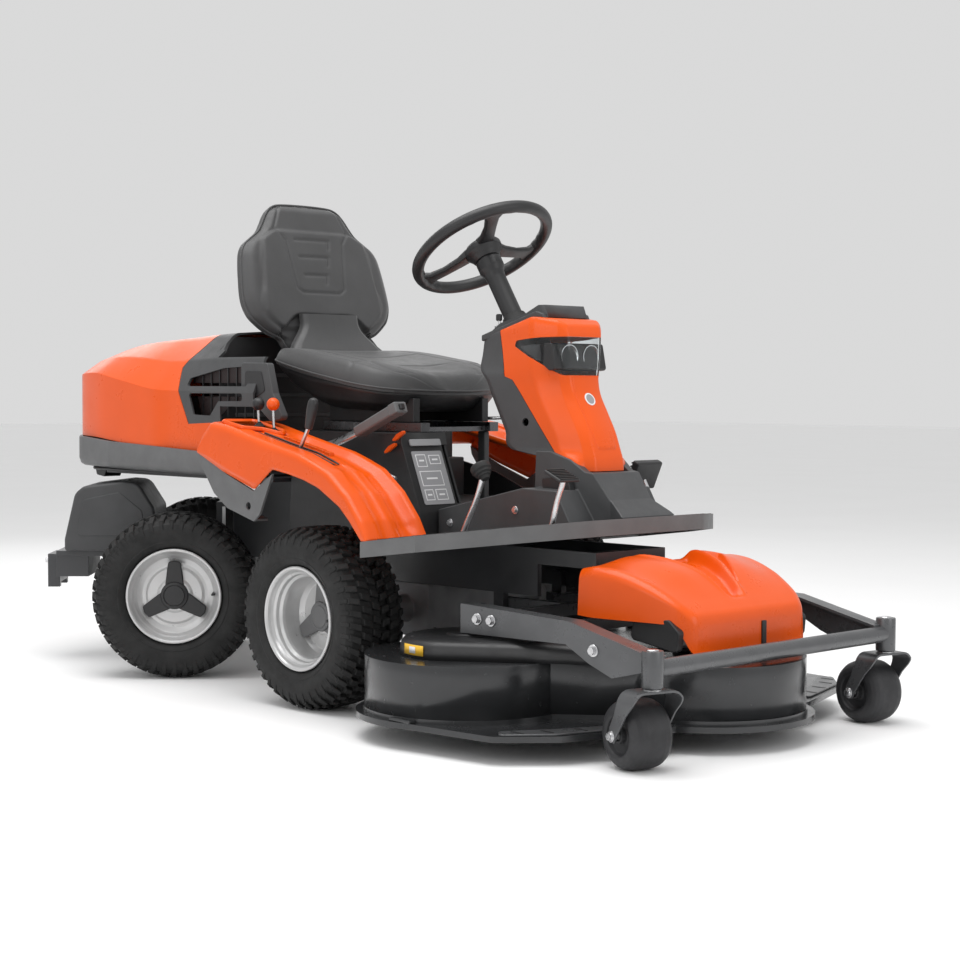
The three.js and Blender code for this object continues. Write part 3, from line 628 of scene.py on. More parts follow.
def rim_profile(disc):
    flange = [(116.6, 68), (116.6, 73), (114, 74.9), (110.5, 74), (107.6, 70), (105.8, 64), (103, 58)]
    if disc > 0:
        dish = [(99.5, 54), (97, 49), (93.5, 44), (87, 41), (80, disc + 3), (72, disc + 4), (66, disc + 9)]
    else:
        dish = [(98.5, 54), (97, 46), (91.5, 41), (90, 34), (88.5, 10), (86, -2), (78, disc + 3),
                (66, disc + 5)]
    hub = [(44, disc + 9), (38, disc + 13.8), (16, disc + 13.8), (16, disc - 29.5), (33.8, disc - 29.5),
           (34, disc - 9), (80, disc - 4), (94, disc - 8)]
    back = [(95.5, -46), (101, -56), (105, -64), (107.6, -70), (110.5, -74), (114, -74.9), (116.6, -73),
            (116.6, -68), (108, -64), (103.4, -52), (103.4, 52), (108, 64)]
    return flange + dish + hub + back


def wheel_cover(label, disc, material):
    place = wheel_place(label)
    body = f"{label}_wheel"
    start = math.radians(90)
    outline = []
    for arm in range(3):
        middle = start + arm * 2 * math.pi / 3
        for radius, offset in ((30, -52), (43, -30), (83, -11), (86, 0), (83, 11), (43, 30), (30, 52)):
            a = middle + math.radians(offset)
            outline.append((radius * math.cos(a), radius * math.sin(a)))
    arms = prism(f"wheel_cover_{label}", filleted(outline, 7, 4), "z", disc + 11, disc + 20, material, body,
                 place)
    bevelled(arms, 3.5, 3)
    hub = [(0.01, disc + 12), (34, disc + 12), (34, disc + 20), (32, disc + 23.5), (27, disc + 25),
           (25.5, disc + 24), (24, disc + 25.6), (8, disc + 27), (0.01, disc + 27)]
    cap = lathe(f"wheel_cover_hub_{label}", hub, material, body, place, 64)


def rim(label, disc, cover):
    place = wheel_place(label)
    body = f"{label}_wheel"
    ring = lathe(f"rim_disc_{label}", filleted(rim_profile(disc), 2.5, 3), RIM_SILVER, body, place, 112, 40)
    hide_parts(f"{label}_rim")
    wheel_cover(label, disc, cover)
    stem = [(94, 3, 44), (95, 3, 56), (93, 3, 66)]
    valve = sweep(f"tyre_valve_{label}", smooth_path(stem, 4),
                  lambda t: circle(4.6 - 1.6 * t, 12), BLACK, body, place)


def wheels():
    for label in ("front_right", "front_left"):
        tyre(label)
        rim(label, -15, MID_GREY)
    for label in ("rear_right", "rear_left"):
        tyre(label)
        rim(label, 35, BLACK)


# ---- casters --------------------------------------------------------------------------
def fork_edges(z, over):
    """Front and rear edge of the bent strap, by its height on the legs."""
    if over:
        return -31, 23
    table = [(54, -56, -40), (67, -62, -34), (84, -55, -22), (110, -41, -4), (128, -34, 14), (140, -31, 23)]
    for (z0, a0, b0), (z1, a1, b1) in zip(table, table[1:]):
        if z <= z1:
            t = max(0, (z - z0) / (z1 - z0))
            return a0 + (a1 - a0) * t, b0 + (b1 - b0) * t
    return -31, 23


def caster_fork(label, place, body):
    half = [(56, z, False) for z in (55, 59, 67, 75, 84, 97, 110, 128)]
    bend = 24
    for k in range(1, 7):
        a = math.radians(15 * k)
        half.append((56 - bend + bend * math.cos(a), 130 + bend * math.sin(a), k > 1))
    path = half + [(0, 154, True)] + [(-y, z, over) for y, z, over in half[::-1]]
    rows = []
    for y, z, over in path:
        low, high = fork_edges(z, over)
        rows.append([(low + (high - low) * c / 6, y, z) for c in range(7)])
    strap = sheet(f"caster_fork_strap_{label}", rows, TUBE_GREY, body, place, 50)
    thickened(strap, 4.6, 0)
    bevelled(strap, 1.2, 2)
    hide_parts(f"caster_fork_{label}")
    stem = lathe(f"caster_stem_{label}",
                 [(0.01, 153), (18, 153), (18, 158), (12, 160), (12, 230.5), (10.5, 232), (0.01, 232)],
                 ZINC, body, place, 40)
    axle = lathe(f"caster_axle_{label}",
                 [(0.01, -63.5), (7, -63.5), (8, -61), (8, 61), (7, 63.5), (0.01, 63.5)],
                 ZINC, body, place @ Matrix.Translation((-CASTER_TRAIL, 0, CASTER_R))
                 @ turned(90, "X"), 32)
    for side in (-1, 1):
        hex_bolt(f"caster_bolt_{label}_{'a' if side < 0 else 'b'}", (-CASTER_TRAIL, side * 58.5, CASTER_R),
                 (0, side, 0), 15, body, place)


def caster_wheel(label, place):
    half = [(67, 0), (66.6, 20), (64.5, 30), (60, 38), (53, 43), (45, 45.4), (40, 45.6), (37, 43),
            (35, 34), (18, 31), (15, 33), (14, 45), (9, 45.6)]
    profile = half + [(r, -z) for r, z in half[::-1] if z]
    spin = place @ Matrix.Translation((-CASTER_TRAIL, 0, CASTER_R)) @ turned(90, "X")
    wheel = lathe(f"caster_roller_{label}", filleted(profile, 2, 2), CASTER_RUBBER, f"{label}_caster_wheel",
                  spin, 96, 40)
    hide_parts(f"caster_wheel_{label}")


def casters():
    for side, label in SIDES:
        turn = Matrix.Rotation(CASTER_ANGLE[label], 4, "Z")
        place = placed(CASTER_POST[0], side * CASTER_POST[1], 0, turn)
        caster_fork(label, place, f"{label}_caster")
        caster_wheel(label, place)


# ---- plain structure ------------------------------------------------------------------
STRUCTURE = {
    "main_frame": (FRAME_BLACK, 2.5, "frame_paint"),
    "rear_frame": (FRAME_BLACK, 2.5, "frame_paint"),
    "front_transaxle": (CAST, 4, "cast_alloy"),
    "rear_transaxle": (CAST, 4, "cast_alloy"),
    "engine": (CAST, 5, "cast_alloy"),
    "fuel_tank": (BLACK, 12, "black_plastic"),
    "battery": (BLACK, 4, "black_plastic"),
    "seat_rails": (DULL_STEEL, 1.2, "bright_steel"),
    "deck_belt": (BELT_RUBBER, 1, "belt_rubber"),
    "blade_right": (BLADE_STEEL, 0.8, "bright_steel"),
    "blade_centre": (BLADE_STEEL, 0.8, "bright_steel"),
    "blade_left": (BLADE_STEEL, 0.8, "bright_steel"),
    "left_fender_lower": (MID_GREY, 2, "grey_plastic"),
    "right_fender_lower": (MID_GREY, 2, "grey_plastic"),
}


def structure():
    for node, (material, edge, slot) in STRUCTURE.items():
        refined(node, f"{node}_finished", material, edge)


# ---- hood -------------------------------------------------------------------------------
# Along the hood: x, half width, bottom, side crease, ridge half width and height,
# top half width and height.
HOOD_STATIONS = [
    (-1160, 150, 600, 690, 112, 716, 70, 733),
    (-1152, 205, 592, 714, 166, 742, 112, 766),
    (-1132, 248, 588, 734, 206, 762, 142, 786),
    (-1100, 280, 586, 746, 232, 776, 164, 801),
    (-985, 309, 583, 750, 256, 792, 184, 820),
    (-900, 318, 576, 738, 264, 792, 196, 828),
    (-828, 322, 570, 727, 270, 788, 204, 832),
    (-695, 327, 560, 708, 276, 778, 212, 838),
    (-540, 328, 558, 704, 284, 782, 218, 846),
    (-320, 326, 558, 700, 284, 786, 218, 850),
]
HOOD_SEAM = [(-455, 540), (-468, 628), (-559, 624), (-592, 690), (-626, 761), (-600, 800), (-560, 870)]
HOOD_WALL = 5
SEAT_ROOM = [(-470, 560), (-100, 560), (-100, 930), (-505, 930), (-505, 822), (-470, 770)]
UPPER_WINDOW = [(-572, 716), (-569, 736), (-446, 760), (-352, 764), (-330, 716)]
LOWER_WINDOW = [(-556, 699), (-343, 699), (-343, 681), (-436, 680), (-470, 645), (-537, 647)]


def between(table, x):
    """Rows of numbers joined by a smooth curve, looked up by their first value."""
    if x <= table[0][0]:
        return table[0]
    if x >= table[-1][0]:
        return table[-1]
    k = max(i for i, row in enumerate(table) if row[0] <= x)
    k = min(k, len(table) - 2)
    a, b, c, d = (table[min(max(k + n, 0), len(table) - 1)] for n in (-1, 0, 1, 2))
    t = (x - b[0]) / (c[0] - b[0])
    out = []
    for p, q, r, s in zip(a, b, c, d):
        left = (r - p) / max(c[0] - a[0], 1e-6) * (c[0] - b[0])
        right = (s - q) / max(d[0] - b[0], 1e-6) * (c[0] - b[0])
        out.append(q * (2 * t ** 3 - 3 * t ** 2 + 1) + left * (t ** 3 - 2 * t ** 2 + t)
                   + r * (3 * t ** 2 - 2 * t ** 3) + right * (t ** 3 - t ** 2))
    return tuple(out)


def eased(x, low, high):
    t = min(max((x - low) / (high - low), 0), 1)
    return t * t * (3 - 2 * t)


def hood_ring(x, inset):
    _, w, b, c, wr, r, wt, t = between(HOOD_STATIONS, x)
    fold = eased(x, -700, -640) * 9
    half = [(w - fold, b), (w - fold * 0.6, c), (wr, r), (wt, t), (wt * 0.5, t + 7), (0, t + 9)]
    half = [(max(y - inset, 0.0), z - (inset if k > 0 else 60 * (inset > 0)))
            for k, (y, z) in enumerate(half)]
    outline = [(-y, z) for y, z in half] + [(y, z) for y, z in half[::-1][1:]]
    radii = [0, 4, 30, 40, 60, 60, 60, 40, 30, 4, 0]
    return [(x, y, z) for y, z in filleted(outline, radii, 5, closed=False)]


def hood_solid(name, inset):
    rear = -1160 + inset
    levels = [rear, rear + 4, rear + 12, rear + 28, rear + 44, rear + 64]
    levels += [rear + 64 + k * (1160 - 64 - 300 - inset) / 34 for k in range(1, 35)]
    rings = [hood_ring(x, inset) for x in levels]
    if inset:
        rings[-1] = [(x + 30, y, z) for x, y, z in rings[-1]]
    return lofted(name, rings, ORANGE, "bonnet", smooth=24)


def wide_prism(shape, reach=400):
    """Cutter across the whole hood."""
    return prism("tool", shape, "y", -reach, reach, BLACK, "bonnet")


def seam_region(shift):
    side = [(x - shift, z) for x, z in HOOD_SEAM]
    return side + [(-560 - shift, 930), (-150, 930), (-150, 540)]


def hood():
    shell = cut_by(hood_solid("hood_shell", 0), hood_solid("hood_core", HOOD_WALL))
    front = copied(shell, "hood_panel", "bonnet")
    cut_by(shell, wide_prism(seam_region(1.2)))
    bevelled(shell, 1.6, 2, 50)
    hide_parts("hood")
    grey_panel(front)
    grilles()
    bulkhead()
    hood_latch()


def grey_panel(front):
    cut_by(front, wide_prism(seam_region(-1.2)), "INTERSECT")
    cut_by(front, wide_prism(SEAT_ROOM, 262))
    cut_by(front, wide_prism([(-490, 786), (-150, 786), (-150, 930), (-455, 930)]))
    cut_by(front, wide_prism([(-430, 500), (-150, 500), (-150, 668), (-430, 668)]))
    for window in (UPPER_WINDOW, LOWER_WINDOW):
        cut_by(front, wide_prism(filleted(window, 6, 3)))
    repainted(front, DARK_GREY)
    bevelled(front, 1.2, 2, 40)
    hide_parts("hood_top_panel")
    for side, label in SIDES:
        seat_side_frame(side, label)


def bulkhead():
    """Closes the hood behind the seat, with three grey ribs across it."""
    wall = prism("hood_bulkhead", filleted([(-262, 578), (-262, 806), (-225, 838), (225, 838), (262, 806),
                                            (262, 578)],
                                           12, 4), "x", -512, -506, BLACK, "bonnet")
    bevelled(wall, 1.5, 2)
    for k, z in enumerate((640, 690, 740)):
        rib = block(f"hood_bulkhead_rib_{k}", (-508, -220, z), (-503, 220, z + 10), DARK_GREY, "bonnet",
                    edge=2)


def seat_side_frame(side, label):
    """Stepped frame between the windows and the seat."""
    outline = [(-362, 772), (-262, 771), (-240, 700), (-202, 640), (-250, 634), (-292, 663), (-362, 706)]
    frame_piece = prism(f"seat_side_frame_{label}", filleted(outline, 8, 3), "y", *across(side, 288, 309),
                        DARK_GREY, "bonnet")
    bevelled(frame_piece, 3, 3)
    inner = [(-345, 752), (-282, 752), (-268, 706), (-300, 690), (-345, 716)]
    pocket = prism(f"seat_side_pocket_{label}", filleted(inner, 6, 3), "y", *across(side, 306, 311), BLACK,
                   "bonnet")
    bevelled(pocket, 1.5, 2)


def grilles():
    for side, label in SIDES:
        for part, window in (("upper", UPPER_WINDOW), ("lower", LOWER_WINDOW)):
            wider = [(x + (8 if x > -450 else -8), z + (8 if z > 700 else -8)) for x, z in window]
            screen = prism(f"intake_screen_{part}_{label}", wider, "y", *across(side, 286, 289), SCREEN,
                           "bonnet")
            if part == "upper":
                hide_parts(f"intake_grille_{label}")
        for k in range(7):
            x = -540 + k * 34
            rib = prism(f"intake_rib_{label}_{k}", [(x, 642), (x + 3, 642), (x + 3, 766), (x, 766)], "y",
                        *across(side, 289, 292), BLACK, "bonnet")


def hood_latch():
    outline = filleted([(-1146, 752), (-1146, 776), (-1108, 812), (-1088, 812), (-1088, 780)], 8, 4)
    latch = prism("hood_latch", outline, "y", -34, 34, DARK_GREY, "bonnet")
    bevelled(latch, 5, 3)


# ---- rear surround ----------------------------------------------------------------------
SURROUND_PLAN = [(-1160, 0), (-1160, 190), (-1128, 272), (-1060, 314), (-900, 330), (-440, 338)]


def surround_ring(z, inset):
    half = [(x + inset, y - inset) for x, y in SURROUND_PLAN[1:]]
    outline = [(x, -y) for x, y in half[::-1]] + half
    radii = [0, 60, 70, 60, 40] + [40, 60, 70, 60, 0]
    return [(x, y, z) for x, y in filleted(outline, radii, 6, closed=False)]


def hood_bottom(x):
    return between(HOOD_STATIONS, x)[2]


def surround():
    """Bumper band below the hood, rolled in at its lower edge, with a darker undertray."""
    levels = [(557, 7), (556.5, 2), (553, 0), (520, 0), (507, 3), (501, 10), (500, 18)]
    rings = []
    for z, inset in levels:
        ring = surround_ring(z, inset)
        follow = 1 if z > 540 else 0.25
        rings.append([(x, y, z + follow * (hood_bottom(x) - 558)) for x, y, z in ring])
    band = sheet("rear_surround_band", rings, MID_GREY, "chassis", smooth=50)
    thickened(band, 4)
    bevelled(band, 1.2, 2, 60)
    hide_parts("rear_surround")
    tray = [(x + 26, y) for x, y, z in surround_ring(0, 16)]
    floor_plate = prism("rear_undertray", tray, "z", 497, 503, BLACK, "chassis")
    bevelled(floor_plate, 2, 2, 50)
    for side, label in SIDES:
        catch = prism(f"rear_catch_{label}",
                      filleted([(-1116, 500), (-1108, 478), (-1072, 474), (-1056, 500)], 5, 3), "y",
                      side * 205 - 26, side * 205 + 26, BLACK, "chassis")
        bevelled(catch, 3, 3)


# ---- ballast at the back -------------------------------------------------------------------
def counterweight():
    outline = filleted([(-457, 291), (-457, 322), (-430, 440), (-408, 458), (-308, 471), (-268, 468),
                     (-227, 403), (-215, 291)], [8, 20, 34, 20, 30, 34, 20, 8], 6)
    box = prism("counterweight_cover", outline, "y", -122, 122, DARK_GREY, "rear_section", REAR)
    bevelled(box, 11, 5, 50)
    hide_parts("counterweight")
    panel = filleted([(-428, 330), (-410, 424), (-316, 444), (-258, 396), (-248, 330)], 14, 4)
    for side, label in SIDES:
        plate = prism(f"counterweight_panel_{label}", panel, "y", *across(side, 118, 123.6),
                      DARK_GREY, "rear_section", REAR)
        bevelled(plate, 2.4, 3)
    rear_panel = filleted([(-92, 326), (-92, 404), (-74, 424), (74, 424), (92, 404), (92, 326)], 12, 4)
    lean = Matrix.Translation((-457, 0, 322)) @ turned(13, "Y")
    plate = prism("counterweight_rear_panel", [(y, z - 322) for y, z in rear_panel], "x", -2.6, 4,
                  DARK_GREY, "rear_section", REAR @ lean)
    bevelled(plate, 2, 3)
    rib = prism("counterweight_rib", filleted([(-9, 6), (-9, 98), (9, 98), (9, 6)], 5, 3), "x", -6, 3,
                DARK_GREY, "rear_section", REAR @ lean)
    bevelled(rib, 2.4, 3)
    for side, label in SIDES:
        hex_bolt(f"tow_bolt_{label}", (-511, side * 44, 262), (-1, 0, 0), 15,
                 "rear_section", REAR)


# ---- seat -------------------------------------------------------------------------------
CUSHION_PLAN = [(-388, 122), (-384, 168), (-366, 200), (-340, 214), (-270, 222), (-200, 228),
                (-120, 228), (-70, 225), (-30, 212), (4, 186), (26, 146), (38, 108), (46, 60), (49, 12)]
CUSHION_TOP = [(-388, 800), (-372, 807), (-320, 808), (-250, 801), (-170, 789), (-100, 779), (-50, 768),
               (-6, 754), (24, 741), (40, 731), (49, 716)]
CUSHION_FOOT = [(-388, 776.8), (-250, 748.8), (-100, 722.8), (20, 701.8), (49, 697.4)]
BACK_PLACE = placed(-392, 0, 796, turned(-14, "Y"))
BACK_HALF = [(0, 100), (12, 116), (30, 128), (46, 138), (62, 174), (84, 204), (104, 222), (140, 233),
             (200, 229), (250, 221), (270, 214), (286, 202), (302, 180), (320, 156), (340, 141), (362, 127),
             (379, 112), (388, 96), (392, 76), (394, 30)]
BACK_PANEL = [(322, 119), (296, 162), (186, 180), (110, 188), (66, 137)]
TONGUE = [(391, 86), (327, 116), (293, 90), (216, 80), (172, 74), (161, 60)]
BACK_HOOKS = [(298, 62, 47), (254, 54, 38), (207, 46, 25)]


def polyline_distance(point, line):
    best = 1e9
    p = Vector(point)
    for a, b in zip(line, line[1:]):
        a, b = Vector(a), Vector(b)
        t = max(0.0, min(1.0, (p - a).dot(b - a) / max((b - a).length_squared, 1e-9)))
        best = min(best, (p - a.lerp(b, t)).length)
    return best


def groove(distance, depth, width):
    return -depth * math.exp(-(distance / width) ** 2)


def back_relief(y, z, half):
    """How far the front of the backrest stands out at (y, z), in mm."""
    side = abs(y)
    edge = max(0.0, 1 - (half - side) / 34)
    low_edge = max(0.0, 1 - z / 22)
    top_edge = max(0.0, 1 - (394 - z) / 26)
    rounding = -26 * min(1.0, edge ** 2.4 + low_edge ** 2.4 * 0.6 + top_edge ** 2.2)
    panel = [(s, h) for h, s in BACK_PANEL]
    rise = 0.0
    if 66 < z < 322:
        limit = between([(h, s) for h, s in BACK_PANEL[::-1]], z)[1]
        rise = 9 * eased(limit - side, -7, 7) * eased(z, 62, 78) * eased(322 - z, -5, 9)
    bolster = 7 * eased(side, 96, 200) * eased(z, 60, 160) * eased(360 - z, 0, 120)
    lines = groove(polyline_distance((side, z), [(s, h) for h, s in TONGUE] + [(0, 161)]), 4.5, 3.4)
    lines += groove(polyline_distance((side, z), panel), 3.2, 4)
    for height, left, right in BACK_HOOKS:
        hook = [(-left, height - 1), (right, height), (right - 5, height - 22)]
        lines += groove(polyline_distance((y, z), hook), 4.6, 3.6)
    opening = 100 + 3 * eased(side, 0, 90)
    if side < 142:
        lip = between([(0, 103), (86, 103), (107, 92), (137, 66)], side)[1]
        neck = eased(lip - z, -4, 5)
        rise -= 15 * neck * eased(opening - z, -30, 10)
    return rounding + rise + bolster + lines


def seat_back():
    rows, columns = 132, 108
    verts = []
    for r in range(rows):
        z = 394 * r / (rows - 1)
        half = between([(h, s) for h, s in BACK_HALF], z)[1]
        for c in range(columns):
            y = half * (2 * c / (columns - 1) - 1)
            verts.append((-2 - 9 + back_relief(y, z, half) * 0.82, y, z))
    front = len(verts)
    for r in range(rows):
        z = 394 * r / (rows - 1)
        half = between([(h, s) for h, s in BACK_HALF], z)[1]
        for c in range(columns):
            t = 2 * c / (columns - 1) - 1
            bulge = (1 - abs(t) ** 3) * (1 - abs(2 * z / 394 - 1) ** 4)
            verts.append((-42 - 14 * bulge, half * t, z))
    sheet = grid_faces(rows, columns)
    faces = sheet + [tuple(front + k for k in face) for face in sheet]
    rim = [r * columns for r in range(rows)] + [(rows - 1) * columns + c for c in range(1, columns)]
    rim += [r * columns + columns - 1 for r in range(rows - 2, -1, -1)] + list(range(columns - 2, 0, -1))
    faces += [(a, b, b + front, a + front) for a, b in zip(rim, rim[1:] + rim[:1])]
    back = build("seat_back_padded", verts, faces, VINYL, "seat", BACK_PLACE, 70)
    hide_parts("seat_back")
    seat_back_shell()
    seat_piping()


def seat_piping():
    """Stitched welt where the front cover meets the rear one."""
    half = [(s, h) for h, s in BACK_HALF if h >= 12]
    points = [(-27, -s * 0.998, h) for s, h in half] + [(-27, s * 0.998, h) for s, h in half[::-1]]
    path = smooth_path(points, 5)
    return bar("seat_back_welt", path, 2.6, VINYL, "seat", BACK_PLACE, 10)


def seat_back_shell():
    outline = [(-s * 0.84, 190 + (h - 190) * 0.86) for h, s in BACK_HALF]
    outline += [(s * 0.84, 190 + (h - 190) * 0.86) for h, s in BACK_HALF[::-1]]
    shell = prism("seat_back_shell", outline, "x", -57.5, -46, BLACK, "seat", BACK_PLACE)
    bevelled(shell, 5, 3, 40)


def cushion_height(x, t):
    """Top of the cushion; t runs from -1 to 1 across."""
    top = between(CUSHION_TOP, x)[1]
    side = abs(t)
    dish = -11 * (1 - eased(side, 0.1, 0.72)) * eased(x, -385, -300) * eased(-x, -20, 60)
    lobe = 5 * eased(x, -92, -70) * eased(side, 0.12, 0.5) * (1 - eased(side, 0.6, 0.9))
    seams = groove(abs(side - 0.66 - 0.1 * eased(x, -120, 0)), 3.0, 0.02)
    seams += groove(abs(x + 92 - 22 * side * side), 3.4, 4.5)
    seams += groove(abs(x + 236 - 10 * side * side), 2.2, 4.5) * (1 - eased(side, 0.6, 0.7))
    corner = groove(polyline_distance((x, side * 200), [(-12, 120), (20, 128), (6, 160)]), 1.6, 2.6)
    return top + dish + lobe + seams + corner


def cushion():
    rows, columns = 150, 90
    rings = []
    for r in range(rows):
        s = r / (rows - 1)
        x = -388 + 437 * (0.5 - 0.5 * math.cos(math.pi * s)) ** 0.92
        half = between(CUSHION_PLAN, x)[1]
        foot = between(CUSHION_FOOT, x)[1]
        end = max(1 - (x + 388) / 26, 1 - (49 - x) / 30, 0.0)
        ring = []
        for c in range(columns + 1):
            t = 2 * c / columns - 1
            edge = max(0.0, (abs(t) * half - (half - 27)) / 27)
            fall = min(1.0, (edge ** 2.3) + end ** 2.2)
            top = cushion_height(x, t)
            seam = foot + (top - foot) * 0.34
            ring.append((x, half * t, top - (top - seam) * fall))
        belly = [(x, half * 0.995, foot + 1.5), (x, half * 0.965, foot), (x, 0, foot),
                 (x, -half * 0.965, foot), (x, -half * 0.995, foot + 1.5)]
        rings.append(ring + belly)
    pad = lofted("seat_cushion_padded", rings, VINYL, "seat", smooth=60)
    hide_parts("seat_cushion")
    welt = [(x, -y * 1.001) for x, y in CUSHION_PLAN] + [(x, y * 1.001) for x, y in CUSHION_PLAN[::-1]]
    welt = [(x, y, between(CUSHION_FOOT, x)[1] + 9) for x, y in welt]
    bar("seat_cushion_welt", smooth_path(welt, 6), 2.4, VINYL, "seat", PLAIN, 10)


PAN_BOTTOM = [(-372, 745), (-330, 702), (-240, 668), (-140, 660), (-40, 658), (10, 665), (30, 682),
              (40, 697)]


def seat_pan():
    """Moulded tray below the cushion, tapering in towards the slides."""
    rings = []
    rows = 60
    for r in range(rows):
        x = -378 + 418 * r / (rows - 1)
        half = between(CUSHION_PLAN, min(x, 40))[1] - 8
        foot = between(CUSHION_FOOT, x)[1] - 0.4
        low = between(PAN_BOTTOM, x)[1]
        narrow = half * 0.62
        outline = [(half, foot), (half * 0.99, foot - (foot - low) * 0.14),
                   (half * 0.86, low + (foot - low) * 0.36), (narrow, low + 3), (narrow * 0.7, low)]
        ring = [(-y, z) for y, z in outline] + [(y, z) for y, z in outline[::-1]]
        rings.append([(x, y, z) for y, z in filleted(ring, [2, 8, 30, 20, 8] + [8, 20, 30, 8, 2], 4)])
    pan = lofted("seat_pan_tray", rings, BLACK, "seat", smooth=50)
    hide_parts("seat_pan")
    for side, label in SIDES:
        runner = block(f"seat_runner_{label}", (-260, side * 110 - 10, 634.5), (40, side * 110 + 10, 690),
                       BLACK, "seat", edge=2)
    neck()


def neck():
    """Covered bracket that carries the back above the cushion."""
    rings = []
    for k in range(15):
        t = k / 14
        half = 152 - 62 * eased(t, 0.0, 0.8)
        front = -352 - 44 * t - 8 * math.sin(math.pi * t)
        z = 790 + 106 * t
        depth = 40 - 6 * t
        outline = [(front - depth, -half * 0.9), (front - 8, -half), (front, -half * 0.86),
                   (front + 3, 0), (front, half * 0.86), (front - 8, half), (front - depth, half * 0.9)]
        rings.append([(x, y, z) for x, y in filleted(outline, 10, 3)])
    lofted("seat_neck_cover", rings, VINYL, "seat", smooth=60)


def seat_lever():
    rod_path = smooth_path([(20, 130, 642), (60, 150, 644), (98, 165, 650)], 8)
    lever = bar("seat_lever_rod", rod_path, 4, ZINC, "seat_catch", PLAIN, 16)
    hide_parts("seat_lever")
    grip = bar("seat_lever_grip", [(62, 150.5, 644.2), (80, 158, 647), (99, 165.5, 650.2)], 6, BLACK,
               "seat_catch", PLAIN, 20)


def seat():
    cushion()
    seat_back()
    seat_pan()
    seat_lever()


# ---- seat box -----------------------------------------------------------------------------
SHELF_X, SHELF_Y, SHELF_Z = -170, -62, 452


def pedestal():
    """Seat box with its front left corner stepped down to a shelf, so that the left fender shows."""
    box = refined("seat_pedestal", "pedestal_box", BLACK, 7, 4)
    cut_by(box, block("tool", (SHELF_X, SHELF_Y, SHELF_Z), (200, 240, 640), BLACK, "chassis", edge=0.1))
    side = [(SHELF_X, SHELF_Z), (139, SHELF_Z), (86, 581), (78, 608), (SHELF_X, 608)]
    shelf = block("pedestal_shelf", (-300, -196, SHELF_Z - 10), (141, 196, SHELF_Z), BLACK, "chassis",
                  edge=2)
    wall = prism("pedestal_step_wall", side, "y", SHELF_Y - 6, SHELF_Y, BLACK, "chassis")
    rear = block("pedestal_step_rear", (SHELF_X - 6, SHELF_Y, SHELF_Z - 4), (SHELF_X, 196, 608), BLACK,
                 "chassis")
    post = block("pedestal_rail_post", (22, 102, SHELF_Z - 4), (46, 118, 612), DARK_GREY, "chassis", edge=3)
    liner = prism("left_wheel_liner",
                  filleted([(-262, 400), (128, 400), (128, 420), (60, 462), (-60, 508), (-262, 548)],
                                               8, 4), "y", 244, 249, BLACK, "chassis")
    # Front face of the box runs from (150, 440) up to (90, 586).
    slope = math.atan2(60, 146)
    face = placed(120, 0, 513, Matrix.Rotation(-slope, 4, "Y"))
    strip = prism("pedestal_strip", filleted([(-178, 74), (-84, 74), (-84, 90), (-178, 90)], 3, 3), "x",
                  0.5, 5, LABEL_GREY, "chassis", face)
    bevelled(strip, 1.5, 2)
    board = prism("pedestal_label", filleted([(-180, -66), (-88, -66), (-88, 62), (-180, 62)], 4, 3), "x",
                  0.3, 1.6, LABEL_GREY, "chassis", face)
    pictograms(face)
    for side, label in SIDES:
        for k, x in enumerate((-40, 118)):
            hex_bolt(f"pedestal_bolt_{label}_{k}", (x, side * 199.6, 402), (0, side, 0), 12, "chassis")


def pictograms(face):
    """Plain framed fields with a bar in each, standing in for printed signs."""
    cells = [(-171, 24, 30, 30), (-132, 30, 34, 22), (-171, -22, 66, 36), (-171, -56, 26, 26),
             (-138, -56, 34, 26)]
    for k, (y, z, wide, high) in enumerate(cells):
        outer = [(y, z), (y + wide, z), (y + wide, z + high), (y, z + high)]
        frame_line = [(y + 2, z + 2), (y + wide - 2, z + 2), (y + wide - 2, z + high - 2),
                      (y + 2, z + high - 2)]
        for part, shape, top, paint in (("edge", outer, 1.9, LABEL_WHITE),
                                        ("field", frame_line, 2.1, LABEL_GREY)):
            piece = prism(f"pedestal_sign_{part}_{k}", shape, "x", 1.4, top, paint, "chassis", face)
        middle = z + high / 2
        mark = prism(f"pedestal_sign_mark_{k}",
                     [(y + wide * 0.25, middle - 2), (y + wide * 0.75, middle - 2),
                      (y + wide * 0.75, middle + 2),
                      (y + wide * 0.25, middle + 2)], "x", 1.9, 2.3, LABEL_WHITE, "chassis", face)


# ---- fenders ------------------------------------------------------------------------------
# Matching points along a fender, rear to front: crest x, z then arch x, z below it.
FENDER_SPAN = [
    (0.0, -353, 570, -352, 562), (0.06, -334, 606, -334, 555), (0.12, -304, 634, -302, 542),
    (0.2, -250, 627, -251, 521), (0.32, -180, 611, -140, 486), (0.38, -132, 600.5, -134, 486),
    (0.45, -94, 592, -71, 532), (0.55, 18, 569, -11, 523), (0.62, 70, 552, 42, 512),
    (0.68, 119, 534, 91, 497),
    (0.78, 182, 487, 162, 459), (0.89, 231, 431, 196, 429), (1.0, 253.5, 392.6, 233, 390),
]
FENDER_SIDE = 445
# Across the top from the outer edge: distance in from the side, and height above the crest line.
FENDER_ACROSS = [(0, -16), (1.6, -8), (6, -2.2), (14, 0), (34, 1), (44, 1), (46, -3), (70, -3), (72, 1),
                 (84, 1.5), (96, 0), (103, -9), (112, -14), (132, -16), (146, -12), (154, -2), (160, 1),
                 (171, 1), (174, -3), (175, -14)]


def straight(table, s):
    for a, b in zip(table, table[1:]):
        if s <= b[0]:
            t = (s - a[0]) / (b[0] - a[0])
            return [p + (q - p) * t for p, q in zip(a[1:], b[1:])]
    return list(table[-1][1:])


